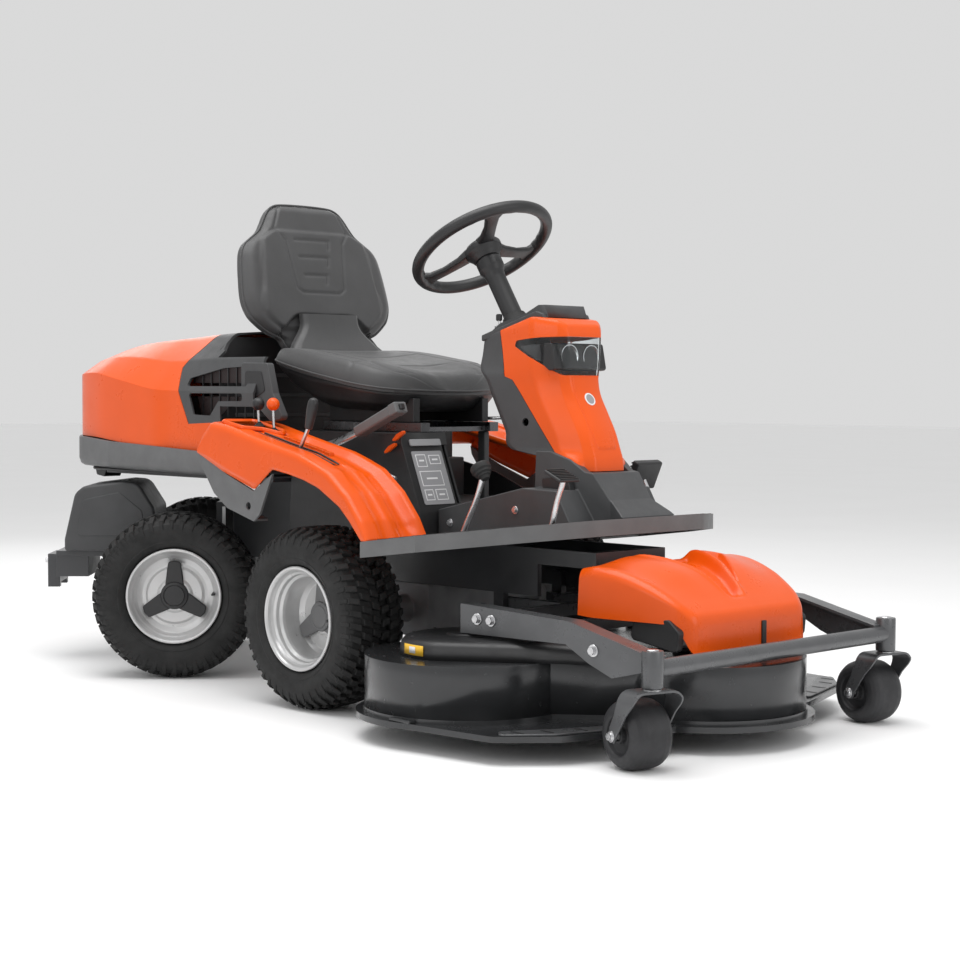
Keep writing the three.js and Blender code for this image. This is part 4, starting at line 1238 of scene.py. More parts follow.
def fender_row(s, side):
    cx, cz, ax, az = straight(FENDER_SPAN, s)
    ahead = straight(FENDER_SPAN, min(s + 0.03, 1))
    behind = straight(FENDER_SPAN, max(s - 0.03, 0))
    run = Vector((ahead[0] - behind[0], ahead[1] - behind[1])).normalized()
    out = Vector((-run.y, run.x))
    channel = eased(s, 0.3, 0.42) * (1 - 0.5 * eased(s, 0.9, 1.0))
    wall = math.hypot(cx - ax, cz - az)
    fillet = min(1, wall / 60)
    top_x, top_z = cx - out.x * 16 * fillet, cz - out.y * 16 * fillet
    row = []
    for k in range(7):
        t = k / 6
        row.append((ax + (top_x - ax) * t, side * (FENDER_SIDE - 1.6 * (1 - t)), az + (top_z - az) * t))
    for inward, height in FENDER_ACROSS[1:]:
        if inward < 12:
            height *= fillet
        if inward > 90 and inward < 172:
            height = height * channel + (1 - channel) * (0.0 if inward < 168 else height)
        if 44 < inward < 72:
            reached = eased(s, 0.14, 0.2)
            height = height * reached * (1 - eased(s, 0.6, 0.68)) + 1 * (1 - reached)
        row.append((cx + out.x * height, side * (FENDER_SIDE - inward), cz + out.y * height))
    return row


def fender(label, side):
    rows = 96
    grid = [fender_row(k / (rows - 1), side) for k in range(rows)]
    panel = sheet(f"{label}_fender_panel", grid, ORANGE, "chassis", smooth=38)
    if (panel.data.polygons[len(panel.data.polygons) // 2].normal.y * side) < 0:
        panel.data.flip_normals()
    thickened(panel, 4.5, -1).modifiers["wall"].use_even_offset = False
    settle(panel)
    if side < 0:
        for hole in lever_openings():
            cut_by(panel, hole)
    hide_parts(f"{label}_fender")


def lever_openings():
    slot_plan = filleted([(-182, -394), (88, -394), (88, -382), (-182, -382)], 5.5, 4)
    tray_plan = filleted(TRAY_PLAN, 8, 4)
    return [prism("tool", slot_plan, "z", 500, 700, BLACK, "chassis"),
            prism("tool", tray_plan, "z", 600, 700, BLACK, "chassis")]


TRAY_PLAN = [(-290, -418), (-284, -330), (-168, -330), (-150, -352), (-196, -372), (-214, -418)]


def crest_height(x):
    rows = [(row[1], row[2]) for row in FENDER_SPAN]
    return straight(rows, x)[0]


def tray_line(plan, lift):
    return [(x, y, crest_height(x) + lift) for x, y in plan]


def lever_tray():
    """Raised rim and black recess round the throttle and choke levers."""
    rim_plan = filleted(TRAY_PLAN, 12, 6)
    loop = tray_line(rim_plan, 3)
    ring = sweep("lever_tray_rim", loop + loop[:1], [(-5, -5), (5, -5), (5, 3), (3, 5), (-3, 5), (-5, 3)],
                 ORANGE, "chassis")
    bevelled(ring, 1.5, 2, 40)
    floor_points = tray_line(rim_plan, -14)
    floor_plate = build("lever_tray_floor", floor_points, [tuple(range(len(floor_points)))], BLACK,
                        "chassis")
    thickened(floor_plate, 3)
    for k, x in enumerate((-242, -186)):
        z = crest_height(x)
        boot = [(0.01, -13), (19, -13), (18, -8), (13, -4), (14, -1), (9, 2), (8, 5), (4.5, 7), (4.4, 9),
                (0.01, 9)]
        piece = lathe(f"lever_boot_{k}", boot, BELT_RUBBER, "chassis", placed(x, -346, z), 36)
        gate = block(f"lever_gate_{k}", (x - 24, -360, z - 12), (x + 24, -332, z - 9), ZINC, "chassis",
                     edge=1)


def slot_trim():
    """Black seal inside the height slot and the stepped ridges beside it."""
    low, high = -178, 84
    for k, y in enumerate((-396.6, -379.4)):
        path = [(x, y, crest_height(x) - 1) for x in [low + (high - low) * i / 18 for i in range(19)]]
        sweep(f"height_slot_seal_{k}", path, circle(2.2, 10), BLACK, "chassis")
    path = [(x, -388, crest_height(x) - 9) for x in [low + (high - low) * i / 18 for i in range(19)]]
    bed = sweep("height_slot_bed", path, [(-2, -10), (2, -10), (2, 10), (-2, 10)], BLACK, "chassis")
    for k in range(7):
        x = -120 + 24 * k
        z = crest_height(x)
        tooth = prism(f"height_notch_{k}", [(x, z - 6), (x + 20, z - 10), (x + 20, z + 3), (x, z + 7)], "y",
                      -372, -358, ORANGE, "chassis")
        bevelled(tooth, 1.5, 2)


def linkage():
    """Lift linkage between the lever and the deck arms, inside the fender."""
    spring = []
    for k in range(181):
        a = k * math.radians(24)
        t = k / 180
        spring.append((-40 + 96 * t, -236 + 8 * math.cos(a), 548 - 20 * t + 8 * math.sin(a)))
    bar("lift_spring", spring, 1.7, ZINC, "chassis", PLAIN, 8)
    link = bar("lift_link", [(-120, -236, 560), (-44, -236, 549)], 4, ZINC, "chassis", PLAIN, 14)
    hook = bar("lift_link_front", [(54, -236, 529), (110, -236, 512)], 4, ZINC, "chassis", PLAIN, 14)
    for k, (x, z) in enumerate(((88, 606), (60, 578))):
        tab = prism(f"lift_tab_{k}", filleted([(x - 22, z - 14), (x - 4, z - 10), (x + 22, z + 6),
                                               (x + 20, z + 13),
                                              (x - 2, z + 4)], 3, 3), "y", -214, -206, ORANGE, "chassis")
        bevelled(tab, 1.5, 2)


def fenders():
    fender("right", -1)
    fender("left", 1)
    lever_tray()
    slot_trim()
    linkage()


# ---- footplate ---------------------------------------------------------------------------
def footplate():
    refined("footplate", "footplate_moulding", MID_GREY, 7, 4)
    slope = math.atan(0.13)
    place = placed(232, 0, 389, Matrix.Rotation(-slope, 4, "Y"))
    for side, hand in SIDES:
        for k in range(9):
            x = 32 + 36 * k
            outer = 425 if x < 190 else 425 - (x - 190) * 0.83
            if outer < 190:
                continue
            label = f"foot_tread_{hand}_{k}"
            # The drive pedal's rod comes up through the fourth tread on the right.
            spans = [(176, 246), (298, outer)] if (side, k) == (-1, 3) else [(176, outer)]
            for part, (inner, end) in enumerate(spans):
                low, high = across(side, inner, end)
                tread = block(label + "_b" * part, (x, low, -0.4), (x + 12, high, 1.8), BLACK, "chassis",
                              place, 0.8, 2)
    for k in range(11):
        y = -250 + 50 * k
        rib = block(f"foot_rib_{k}", (200, y - 2, -32), (372 if abs(y) > 120 else 408, y + 2, -6), BLACK,
                    "chassis", place, 0.8, 2)


# ---- cutting deck ---------------------------------------------------------------------------
LOBES = [(462, -350), (797, 0), (462, 350)]
DECK_WALL_R = 212
DECK_LIP_R = 230
DECK_LOW = 44
DECK_HIGH = 170


def disc_outline(centre, radius, sides=120):
    x, y = centre
    return [(x + a, y + b) for a, b in circle(radius, sides)]


def lobe_union(name, radius, low, high, plan, material, body):
    piece = prism(name, plan, "z", low, high, material, body)
    for centre in LOBES:
        cut_by(piece, prism("tool", disc_outline(centre, radius), "z", low, high, material, body), "UNION")
    return piece


def body_plan(radius, inset):
    (sx, sy), (cx, _), _ = LOBES
    half = [(sx - radius, sy), (640 - 1.52 * inset, sy), (cx - 0.38 * inset, -radius)]
    return half + [(x, -y) for x, y in half[::-1]]


def lip_plan():
    half = [(300, -500), (462, -578), (735, -548), (822, -450), (900, -230)]
    return filleted(half + [(x, -y) for x, y in half[::-1]], 26, 6)


def open_below(piece, level):
    """Takes away the faces that lie flat at one level, in mm."""
    shaped = bmesh.new()
    shaped.from_mesh(piece.data)
    gone = [f for f in shaped.faces if all(abs(v.co.z / MM - level) < 0.2 for v in f.verts)]
    bmesh.ops.delete(shaped, geom=gone, context="FACES")
    shaped.to_mesh(piece.data)
    shaped.free()


def deck_shell():
    walls = lobe_union("deck_walls", DECK_WALL_R, DECK_LOW, DECK_HIGH, body_plan(DECK_WALL_R, 0),
                       DECK_BLACK, "deck")
    bevelled(walls, 9, 5, 50)
    settle(walls)
    open_below(walls, DECK_LOW)
    walls.data.set_sharp_from_angle(angle=math.radians(32))
    thickened(walls, 4, -1).modifiers["wall"].use_even_offset = False
    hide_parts("deck_shell")
    lip = lobe_union("deck_lip", DECK_LIP_R, DECK_LOW, DECK_LOW + 12, lip_plan(), DECK_BLACK, "deck")
    cut_by(lip, lobe_union("tool", DECK_WALL_R - 4, DECK_LOW - 20, DECK_LOW + 60,
                           body_plan(DECK_WALL_R - 4, 4), DECK_BLACK, "deck"))
    bevelled(lip, 3, 3, 50)
    band = lobe_union("deck_wall_band", DECK_WALL_R + 3, DECK_LOW + 12, DECK_LOW + 21,
                      body_plan(DECK_WALL_R + 3, 0), DECK_BLACK, "deck")
    cut_by(band, lobe_union("tool", DECK_WALL_R - 2, DECK_LOW - 20, DECK_LOW + 60,
                            body_plan(DECK_WALL_R - 2, 2), DECK_BLACK, "deck"))
    bevelled(band, 2, 2, 50)
    corner_plates()
    deck_hardware()


def corner_plates():
    """Bright pressed plates with adjusting slots at the two front corners of the lip."""
    for side, label in SIDES:
        outline = filleted([(742, side * 536), (812, side * 452), (874, side * 268), (838, side * 262),
                            (770, side * 420), (716, side * 512)], 8, 3)
        plate = prism(f"deck_corner_plate_{label}", outline, "z", DECK_LOW + 12, DECK_LOW + 16, TUBE_GREY,
                      "deck")
        bevelled(plate, 1.4, 2)
        for k, (x, y) in enumerate(((757, 498), (788, 448), (816, 384), (842, 316))):
            slot_piece = prism(f"deck_corner_slot_{label}_{k}",
                               filleted([(x - 20, side * (y + 4)), (x - 20, side * (y - 4)),
                                         (x + 14, side * (y - 4)),
                                         (x + 14, side * (y + 4))], 3.6, 3), "z", DECK_LOW + 15.6,
                               DECK_LOW + 16.5, BLACK, "deck")


def deck_hardware():
    for k, (x, y) in enumerate(LOBES):
        flange = [(0.01, DECK_HIGH), (62, DECK_HIGH), (62, DECK_HIGH + 4), (40, DECK_HIGH + 7),
                  (26, DECK_HIGH + 16), (0.01, DECK_HIGH + 16)]
        spindle = lathe(f"spindle_flange_{k}", flange, FRAME_BLACK, "deck", placed(x, y, 0), 64)
        for turn in range(4):
            a = math.radians(45 + 90 * turn)
            hex_bolt(f"spindle_bolt_{k}_{turn}",
                     (x + 52 * math.cos(a), y + 52 * math.sin(a), DECK_HIGH + 4), (0, 0, 1), 10, "deck")
    for side, label in SIDES:
        bracket = prism(f"deck_bracket_{label}",
                        filleted([(600, 169), (638, 169), (638, 205), (630, 214), (608, 214),
                                                          (600, 205)], 5, 3), "y", side * 330 - 13,
                        side * 330 + 13, FRAME_BLACK, "deck")
        bevelled(bracket, 2, 3)
        hex_bolt(f"deck_bracket_bolt_{label}", (619, side * 343, 190), (0, side, 0), 16, "deck")
        clip = block(f"deck_lip_step_{label}", (470, side * 560 - 14, DECK_LOW + 11), (530, side * 560 + 14,
                                                                                     DECK_LOW + 19),
                     DECK_BLACK, "deck", edge=3)


def dome_outline(grow, side):
    """Plan of a belt cover: round over the outer spindle, narrowing towards the middle one."""
    cx, cy = LOBES[0]
    outline = []
    for k in range(41):
        a = math.radians(90 + 198 * k / 40)
        outline.append((cx + (140 + grow) * math.cos(a), cy + (140 + grow) * math.sin(a)))
    for k in range(25):
        a = math.radians(-72 + 162 * k / 24)
        outline.append((700 + (77 + grow) * math.cos(a), -250 + (77 + grow) * math.sin(a)))
    return [(x, y * -side) for x, y in outline]


def belt_cover(label, side):
    levels = [(DECK_HIGH + 0.5, 0), (184, -1), (196, -4), (203, -10), (207, -20), (208, -34)]
    rings = [[(x, y, z) for x, y in dome_outline(inset, side)] for z, inset in levels]
    count = len(rings[0])
    verts = [p for ring in rings for p in ring]
    faces = grid_faces(len(rings), count, wrap=True) + [tuple(range(len(verts) - count, len(verts)))]
    dome = build(f"belt_cover_dome_{label}", verts, faces, BLACK, "deck", smooth=40)
    thickened(dome, 4)
    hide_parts(f"belt_cover_{label}")
    cx, cy = LOBES[0][0], side * -LOBES[0][1]
    cap = lathe(f"belt_cover_cap_{label}",
                [(0.01, 206), (44, 206), (44, 209), (40, 212), (14, 212.6), (12, 210),
                                            (0.01, 210)], BLACK, "deck", placed(cx, cy, 0), 64)
    for k in range(5):
        a = math.radians(100 + 36 * k)
        x, y = cx + 118 * math.cos(a), cy - side * -118 * math.sin(a) * -1
        rib = block(f"belt_cover_rib_{label}_{k}", (x - 3, y - 3, 190), (x + 3, y + 3, 209), BLACK, "deck",
                    edge=2)


def deck_label():
    """Plain two-colour sign on the right dome's wall."""
    cx, cy = LOBES[0]
    for part, low, high, radius, span, paint in (("field", 176, 197, 140.6, 13, LABEL_YELLOW),
                                                 ("mark", 180, 193, 141.2, 4, LABEL_WHITE)):
        turns = [math.radians(264 - span + 2 * span * k / 8) for k in range(9)]
        rows = [[(cx + radius * math.cos(a), cy + radius * math.sin(a), z) for a in turns] for z in (low,
                                                                                                     high)]
        sign = sheet(f"deck_sign_{part}", rows, paint, "deck")
        thickened(sign, 0.4, 1)


def deck_frame():
    refined("deck_frame", "deck_frame_arms", TUBE_GREY, 2.2, 3)
    for side, label in SIDES:
        px, py = CASTER_POST
        post = [(12.6, 160), (20.4, 160), (21, 162), (21, 227), (20, 229.6), (12.6, 229.6)]
        sleeve = lathe(f"caster_post_{label}", post, TUBE_GREY, "deck_carrier", placed(px, side * py, 0),
                       64)
        for k, (x, z) in enumerate(((520, 246), (560, 246), (838, 214))):
            hex_bolt(f"deck_arm_bolt_{label}_{k}", (x, side * 378, z), (0, side, 0), 17, "deck_carrier")
    tube = bar("deck_cross_tube", [(CASTER_POST[0], y, 195) for y in (-366, 0, 366)], 17.2, TUBE_GREY,
               "deck_carrier", PLAIN, 40)


# ---- orange cover over the deck drive -----------------------------------------------------------
# Along the cover: x, half width at the foot, foot height, crest height, half width of the flat.
COVER_STATIONS = [
    (664, 236, 256, 350, 216), (700, 236, 254, 356, 213), (760, 231, 254, 350, 205),
    (820, 222, 254, 331, 194),
    (860, 211, 253, 311, 184), (890, 200, 250, 292, 175), (906, 191, 224, 280, 167),
    (914, 185, 207, 273, 162), (919, 179, 198, 265, 157), (921.5, 172, 194.4, 254, 150),
]
COVER_COLUMNS = 150


def cover_top(x, y, crest, flat):
    """Height of the cover's upper surface, with the open channel down its middle."""
    side = abs(y)
    swell = 14 * eased(flat - side, 0, 110) * eased(x, 664, 690) * (1 - eased(x, 800, 900))
    narrow = 1 - eased(x, 664, 892)
    edge = 21 + 62 * narrow
    depth = 24 * eased(x, 664, 700) * (1 - eased(x, 856, 894))
    channel = depth * eased(edge + 9 - side, 0, 20)
    pocket = 13 * eased(x, 716, 740) * (1 - eased(x, 852, 872)) * eased(y, edge + 12, edge + 20)
    pocket *= eased(edge + 78 - 0.36 * (x - 700) - y, 0, 14)
    ridge = 3.5 * math.exp(-((side - edge - 8) / 6) ** 2) * eased(x, 680, 710) * (1 - eased(x, 850, 890))
    return crest + swell - channel - pocket + ridge


def cover_ring(x):
    _, foot_half, foot, crest, flat = between(COVER_STATIONS, x)
    height = crest - foot
    ring = [(x, -foot_half, foot), (x, -foot_half + 1.5, foot + height * 0.3),
            (x, -foot_half + 3, foot + height * 0.6)]
    steps = 9
    for k in range(steps):
        a = math.radians(90 * k / (steps - 1))
        y = foot_half - 4 - (foot_half - 4 - flat) * (1 - math.cos(a))
        ring.append((x, -y, foot + height * (0.74 + 0.26 * math.sin(a))))
    for k in range(1, COVER_COLUMNS):
        y = -flat + 2 * flat * k / COVER_COLUMNS
        ring.append((x, y, cover_top(x, y, crest, flat)))
    ring += [(px, -py, pz) for px, py, pz in ring[:3 + steps][::-1]]
    return ring


def cover():
    levels = [664 + 254 * k / 130 for k in range(131)] + [920, 921.5]
    rings = [cover_ring(x) for x in levels]
    foot = COVER_STATIONS[-1][2]
    nose = [(921.9, y, max(foot, z - 6)) for x, y, z in rings[-1]]
    floor_ring = [(921.9, y * 0.97, foot) for x, y, z in rings[-1]]
    rings += [nose, floor_ring]
    shell = sheet("deck_cover_shell", rings, ORANGE, "deck_cover", smooth=44)
    thickened(shell, 4)
    bevelled(shell, 1, 2, 60)
    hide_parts("deck_front_cover")
    strap = block("deck_cover_strap", (917, 33, 198), (925.5, 47, 246), BLACK, "deck_cover", edge=2)
    for side, label in SIDES:
        dark = prism(f"deck_cover_inner_{label}",
                     filleted([(780, 216), (902, 198), (906, 240), (880, 262), (790, 262)], 10, 4), "y",
                     *across(side, 190, 208), BLACK, "deck_cover")
        bevelled(dark, 3, 2)


def deck():
    deck_shell()
    belt_cover("right", -1)
    belt_cover("left", 1)
    deck_label()
    deck_frame()
    cover()


# ---- steering tower --------------------------------------------------------------------------
# Side view of the tower as sections: height, rear x, front x, half width at the rear, middle and front.
TOWER_SECTIONS = [
    (537, 470, 538, 84, 78, 58), (560, 440, 536, 90, 80, 58), (579, 318, 530, 97, 82, 57),
    (620, 296, 514, 97, 84, 57),
    (660, 274, 492, 97, 86, 57), (700, 252, 470, 97, 88, 57), (730, 236, 462, 96, 90, 58),
    (745, 222, 461, 95, 92, 60),
    (757, 207, 461, 88, 94, 62), (790, 204, 462, 78, 95, 64), (820, 205, 462, 74, 95, 65),
    (826, 206, 462, 73, 95, 65),
]
TOWER_TOP = [(205, 826), (280, 840), (383, 868), (430, 866), (456, 850), (462, 828)]


def tower_ring(z):
    _, rear, front, w_rear, w_mid, w_front = between(TOWER_SECTIONS, z)
    middle = rear + (front - rear) * 0.72
    half = [(rear, w_rear - 30), (rear + 14, w_rear - 4), (rear + 30, w_rear), (middle, w_mid),
            (front - 16, w_front + 4), (front, w_front - 14)]
    outline = [(x, -y) for x, y in half] + [(x, y) for x, y in half[::-1]]
    radii = [10, 14, 20, 40, 14, 12] + [12, 14, 40, 20, 14, 10]
    return [(x, y, z) for x, y in filleted(outline, radii, 4)]


def roof_height(x):
    if x <= TOWER_TOP[0][0]:
        return TOWER_TOP[0][1]
    for (x0, z0), (x1, z1) in zip(TOWER_TOP, TOWER_TOP[1:]):
        if x <= x1:
            return z0 + (z1 - z0) * (x - x0) / (x1 - x0)
    return TOWER_TOP[-1][1]


def shrunk(ring, inset):
    """The ring pulled in towards its own middle."""
    xs = [p[0] for p in ring]
    middle, reach = (min(xs) + max(xs)) / 2, (max(xs) - min(xs)) / 2
    wide = max(p[1] for p in ring)
    return [(middle + (x - middle) * (1 - inset / reach), y * (1 - inset / wide), z) for x, y, z in ring]


def tower_solid(name, inset, material):
    heights = [537, 545, 560, 570, 579] + [579 + 247 * k / 30 for k in range(1, 31)]
    rings = [shrunk(tower_ring(z), inset) for z in heights]
    top = rings[-1]
    for share, shrink in ((0.55, 0.0), (0.85, 2.0), (0.97, 5.0), (1.0, 9.0)):
        rings.append([(x, y, 826 + (roof_height(x) - 826) * share + share)
                      for x, y, z in shrunk(top, shrink)])
    if inset:
        rings = [[(x, y, z - (inset if z > 800 else 0)) for x, y, z in ring] for ring in rings]
        rings.insert(0, [(x, y, z - 25) for x, y, z in rings[0]])
    count = len(rings[0])
    verts = [p for ring in rings for p in ring]
    base = len(verts) - count
    faces = grid_faces(len(rings), count, wrap=True) + [tuple(range(count))]
    faces += [(base + i, base + i + 1, base + count - 2 - i,
               base + count - 1 - i) for i in range(count // 2 - 1)]
    return build(name, verts, faces, material, "chassis", smooth=30)


TOWER_SEAM = [(500, 500), (452, 578), (352, 708), (332, 732), (309, 740), (284, 822), (262, 900)]
LENS_WINDOW = [(334, 806), (340, 818), (412, 824), (560, 828), (560, 742), (450, 742), (424, 758),
               (396, 776)]


def chassis_prism(shape):
    """Cutter across the whole tower."""
    return prism("tool", shape, "y", -200, 200, BLACK, "chassis")


def tower():
    body = cut_by(tower_solid("tower_front_shell", 0, ORANGE), tower_solid("tool", 5, ORANGE))
    column = bar("tool", [column_point(-60), column_point(420)], 26, BLACK, "chassis", PLAIN, 40)
    cut_by(body, column)
    rear = copied(body, "tower_rear_shell", "chassis")
    lens = copied(body, "headlight_lens_clear", "chassis")
    behind = TOWER_SEAM + [(100, 900), (100, 500)]
    cut_by(body, chassis_prism([(x + 0.8, z) for x, z in behind]))
    window = filleted(LENS_WINDOW, [4, 6, 10, 0, 0, 8, 14, 14], 4)
    cut_by(body, chassis_prism(window))
    cut_by(rear, chassis_prism([(x - 0.8, z) for x, z in behind]), "INTERSECT")
    cut_by(rear, prism("tool", disc_outline((372, 640), 9, 32), "y", -200, 0, BLACK, "chassis"))
    cut_by(lens, chassis_prism(window), "INTERSECT")
    repainted(rear, DARK_GREY)
    repainted(lens, LENS)
    for piece, node, slot in ((body, "tower_front_cover", "orange_plastic"),
                              (rear, "tower_rear_cover", "dark_plastic"), (lens, "headlight_lens", "lens")):
        bevelled(piece, 1.6, 3, 50)
        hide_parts(node)
    front_facet()
    lamps()
    cap = refined("tower_cap", "tower_cap_moulding", DARK_GREY, 6, 4)
    cut_by(cap, prism("tool", [(398, 900), (412, 866), (412, 830), (500, 830), (500, 900)], "y", -120, 120,
                      DARK_GREY, "chassis"))
    skirt = prism("tower_cap_skirt",
                  filleted([(214, 818), (300, 838), (383, 858), (408, 856), (409, 866), (404, 876),
                                               (383, 882), (214, 832)], 3, 3), "y", -74, 74, DARK_GREY,
                  "chassis")
    cut_by(skirt, bar("tool", [column_point(60), column_point(420)], 25, BLACK, "chassis", PLAIN, 40))
    bevelled(skirt, 4, 3, 40)
    refined("tower_base_cover", "tower_base_moulding", DARK_GREY, 5, 4)
    base_details()


def front_facet():
    """Raised tapering panel down the front, with a plain round badge."""
    rings = []
    for k in range(40):
        t = k / 39
        z = 738 - 178 * t
        front = between(TOWER_SECTIONS, z)[2]
        half = 40 - 12 * t
        rise = 3.6 * (1 - eased(t, 0.84, 0.9)) - 1
        rings.append([(front - 9, -half - 5, z), (front + rise - 1.4, -half, z),
                      (front + rise - 0.2, -half + 5, z),
                      (front + rise, 0, z), (front + rise - 0.2, half - 5, z),
                      (front + rise - 1.4, half, z), (front - 9, half + 5, z)])
    lofted("tower_front_panel", rings, ORANGE, "chassis", smooth=50)
    front = between(TOWER_SECTIONS, 690)[2]
    lean = placed(front + 1.6, 0, 690, turned(-28, "Y"))
    outer = prism("tower_badge", disc_outline((0, 0), 15, 48), "x", -3, 2.2, LABEL_WHITE, "chassis", lean)
    inner = prism("tower_badge_field", disc_outline((0, 0), 11.5, 48), "x", -2, 2.6, LABEL_GREY, "chassis",
                  lean)
    for piece in (outer, inner):
        bevelled(piece, 0.6, 2)


def lamps():
    housing = [(350, 808), (440, 812), (452, 754), (432, 752), (398, 776)]
    back = prism("lamp_housing", filleted(housing, 6, 3), "y", -82, 82, BLACK, "chassis")
    bevelled(back, 4, 3)
    for side, label in SIDES:
        place = placed(440, side * 34, 783, turned(90, "Y"))
        bowl = [(0.01, -16), (10, -13), (19, -4), (24, 8), (26, 8), (26, -18), (0.01, -18)]
        reflector = lathe(f"lamp_reflector_{label}", bowl, REFLECTOR, "chassis", place, 64)
        bulb = lathe(f"lamp_bulb_{label}", filleted([(0.01, -14), (4.5, -14), (4.5, 2), (0.01, 5)], 1.5, 3),
                     LABEL_WHITE, "chassis", place, 32)
        wedge = prism(f"lamp_wedge_{label}",
                      filleted([(344, 806), (408, 808), (412, 774), (398, 774)], 3, 3), "y",
                      *across(side, 74, 84), DARK_GREY, "chassis")
        low, high = across(side, 60, 69)
        box = block(f"lamp_square_{label}", (402, low, 768), (428, high, 804),
                    DARK_GREY, "chassis", edge=4)


def base_details():
    for side, label in SIDES:
        for k, (x, z) in enumerate(((196, 414), (400, 452))):
            hex_bolt(f"tunnel_bolt_{label}_{k}", (x, side * 150, z), (0, side, 0), 12, "chassis")
        pocket = prism(f"tower_base_pocket_{label}",
                       filleted([(432, 520), (506, 532), (520, 492), (440, 478)], 6, 3), "y",
                       *across(side, 88, 104), BLACK, "chassis")
        bevelled(pocket, 2.5, 3)


# ---- steering wheel -------------------------------------------------------------------------------
def column_point(distance):
    x, y, z = WHEEL_CENTRE
    return (x + distance * math.sin(COLUMN_TILT), y, z - distance * math.cos(COLUMN_TILT))


def steering():
    low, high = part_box("steering_wheel")
    place = placed(*WHEEL_CENTRE, Matrix.Rotation(-COLUMN_TILT, 4, "Y"))
    ring_r = (high.y - low.y) / 2 / MM - 15
    ring = steering_rim(ring_r, place)
    hub = [(0.01, 9), (30, 9), (40, 6), (44, 0), (44, -12), (36, -22), (30, -33), (0.01, -33)]
    boss = lathe("steering_hub", filleted(hub, [0, 3, 5, 4, 4, 4, 2, 0], 3), BLACK, "steering", place, 72)
    cap = lathe("steering_cap", filleted([(0.01, 12.5), (22, 12), (27, 9), (27, 6), (0.01, 6)],
                                         [0, 3, 2, 0, 0], 3),
                DARK_GREY, "steering", place, 60)
    spokes = [steering_spoke(turn, ring_r, place) for turn in (90, 210, 330)]
    mark = block("steering_mark", (ring_r - 34, -4, 4.6), (ring_r - 22, 4, 7.4), ORANGE, "steering",
                 place @ turned(210, "Z"), 0.8, 2)
    steering_column()


def steering_rim(ring_r, place):
    """The ring, with finger grips worked into its inner side."""
    around, section = 180, 20
    verts = []
    for k in range(around):
        a = 2 * math.pi * k / around
        finger = 1.5 * math.sin(a * 30) * eased(-math.cos(a * 3 - math.radians(90)), 0.1, 0.5)
        for c in range(section):
            b = 2 * math.pi * c / section
            inner = max(0.0, -math.cos(b)) ** 2
            radius = 13.6 - finger * inner
            r = ring_r + radius * math.cos(b)
            verts.append((r * math.cos(a), r * math.sin(a), radius * 1.04 * math.sin(b)))
    faces = []
    for k in range(around):
        n = (k + 1) % around
        for c in range(section):
            d = (c + 1) % section
            faces.append((k * section + c, n * section + c, n * section + d, k * section + d))
    ring = build("steering_rim", verts, faces, BLACK, "steering", place, 60)
    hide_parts("steering_wheel")
    return ring


def steering_spoke(turn, ring_r, place):
    spin = place @ turned(turn, "Z")
    rings = []
    for x, half, thick in ((34, 21, 9), (60, 17, 7), (100, 15, 6), (ring_r - 26, 17, 6.5),
                           (ring_r - 8, 30, 8)):
        dip = -6 * eased(x, 40, 70) * (1 - eased(x, ring_r - 40, ring_r - 10))
        outline = [(-half, -thick), (half, -thick), (half, thick), (-half, thick)]
        rings.append([(x, y, z + dip) for y, z in filleted(outline, 5, 3)])
    return lofted(f"steering_spoke_{turn}", rings, BLACK, "steering", spin, 50)


def steering_column():
    tube = lathe("steering_column_tube",
                 filleted([(0.01, 34), (28, 34), (30, 38), (30, 60), (24, 72), (22, 84), (22, 398),
                           (0.01, 398)],
                          [0, 2, 2, 4, 6, 4, 1, 0], 3),
                 BLACK, "chassis", placed(*WHEEL_CENTRE, Matrix.Rotation(math.pi - COLUMN_TILT, 4, "Y")),
                 64)
    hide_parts("steering_column")
    boot = [(23, 206), (34, 206), (36, 212), (30, 200), (27, 190), (23, 186)]
    collar = lathe("steering_column_boot", boot, BELT_RUBBER, "chassis",
                   placed(*WHEEL_CENTRE, Matrix.Rotation(math.pi - COLUMN_TILT, 4, "Y")), 48)


def key():
    shaft = bar("ignition_key_shaft", [(240, -40, 852), (237, -40, 866)], 3, ZINC, "key", PLAIN, 16)
    head = prism("ignition_key_head", filleted([(229, 864), (244, 864), (244, 880), (229, 880)], 4, 3), "y",
                 -43, -37, BLACK, "key")
    bevelled(head, 1, 2)
    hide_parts("ignition_key")
    barrel = lathe("ignition_barrel", [(0.01, 846), (13, 846), (13, 853), (10, 855), (0.01, 855)], ZINC,
                   "chassis", placed(241, -40, 0), 40)


# ---- pedals and levers -----------------------------------------------------------------------------
def pedal_rod(name, points, body):
    rod_piece = bar(name, smooth_path(points, 10), 6, ZINC, body, PLAIN, 24)
    return rod_piece


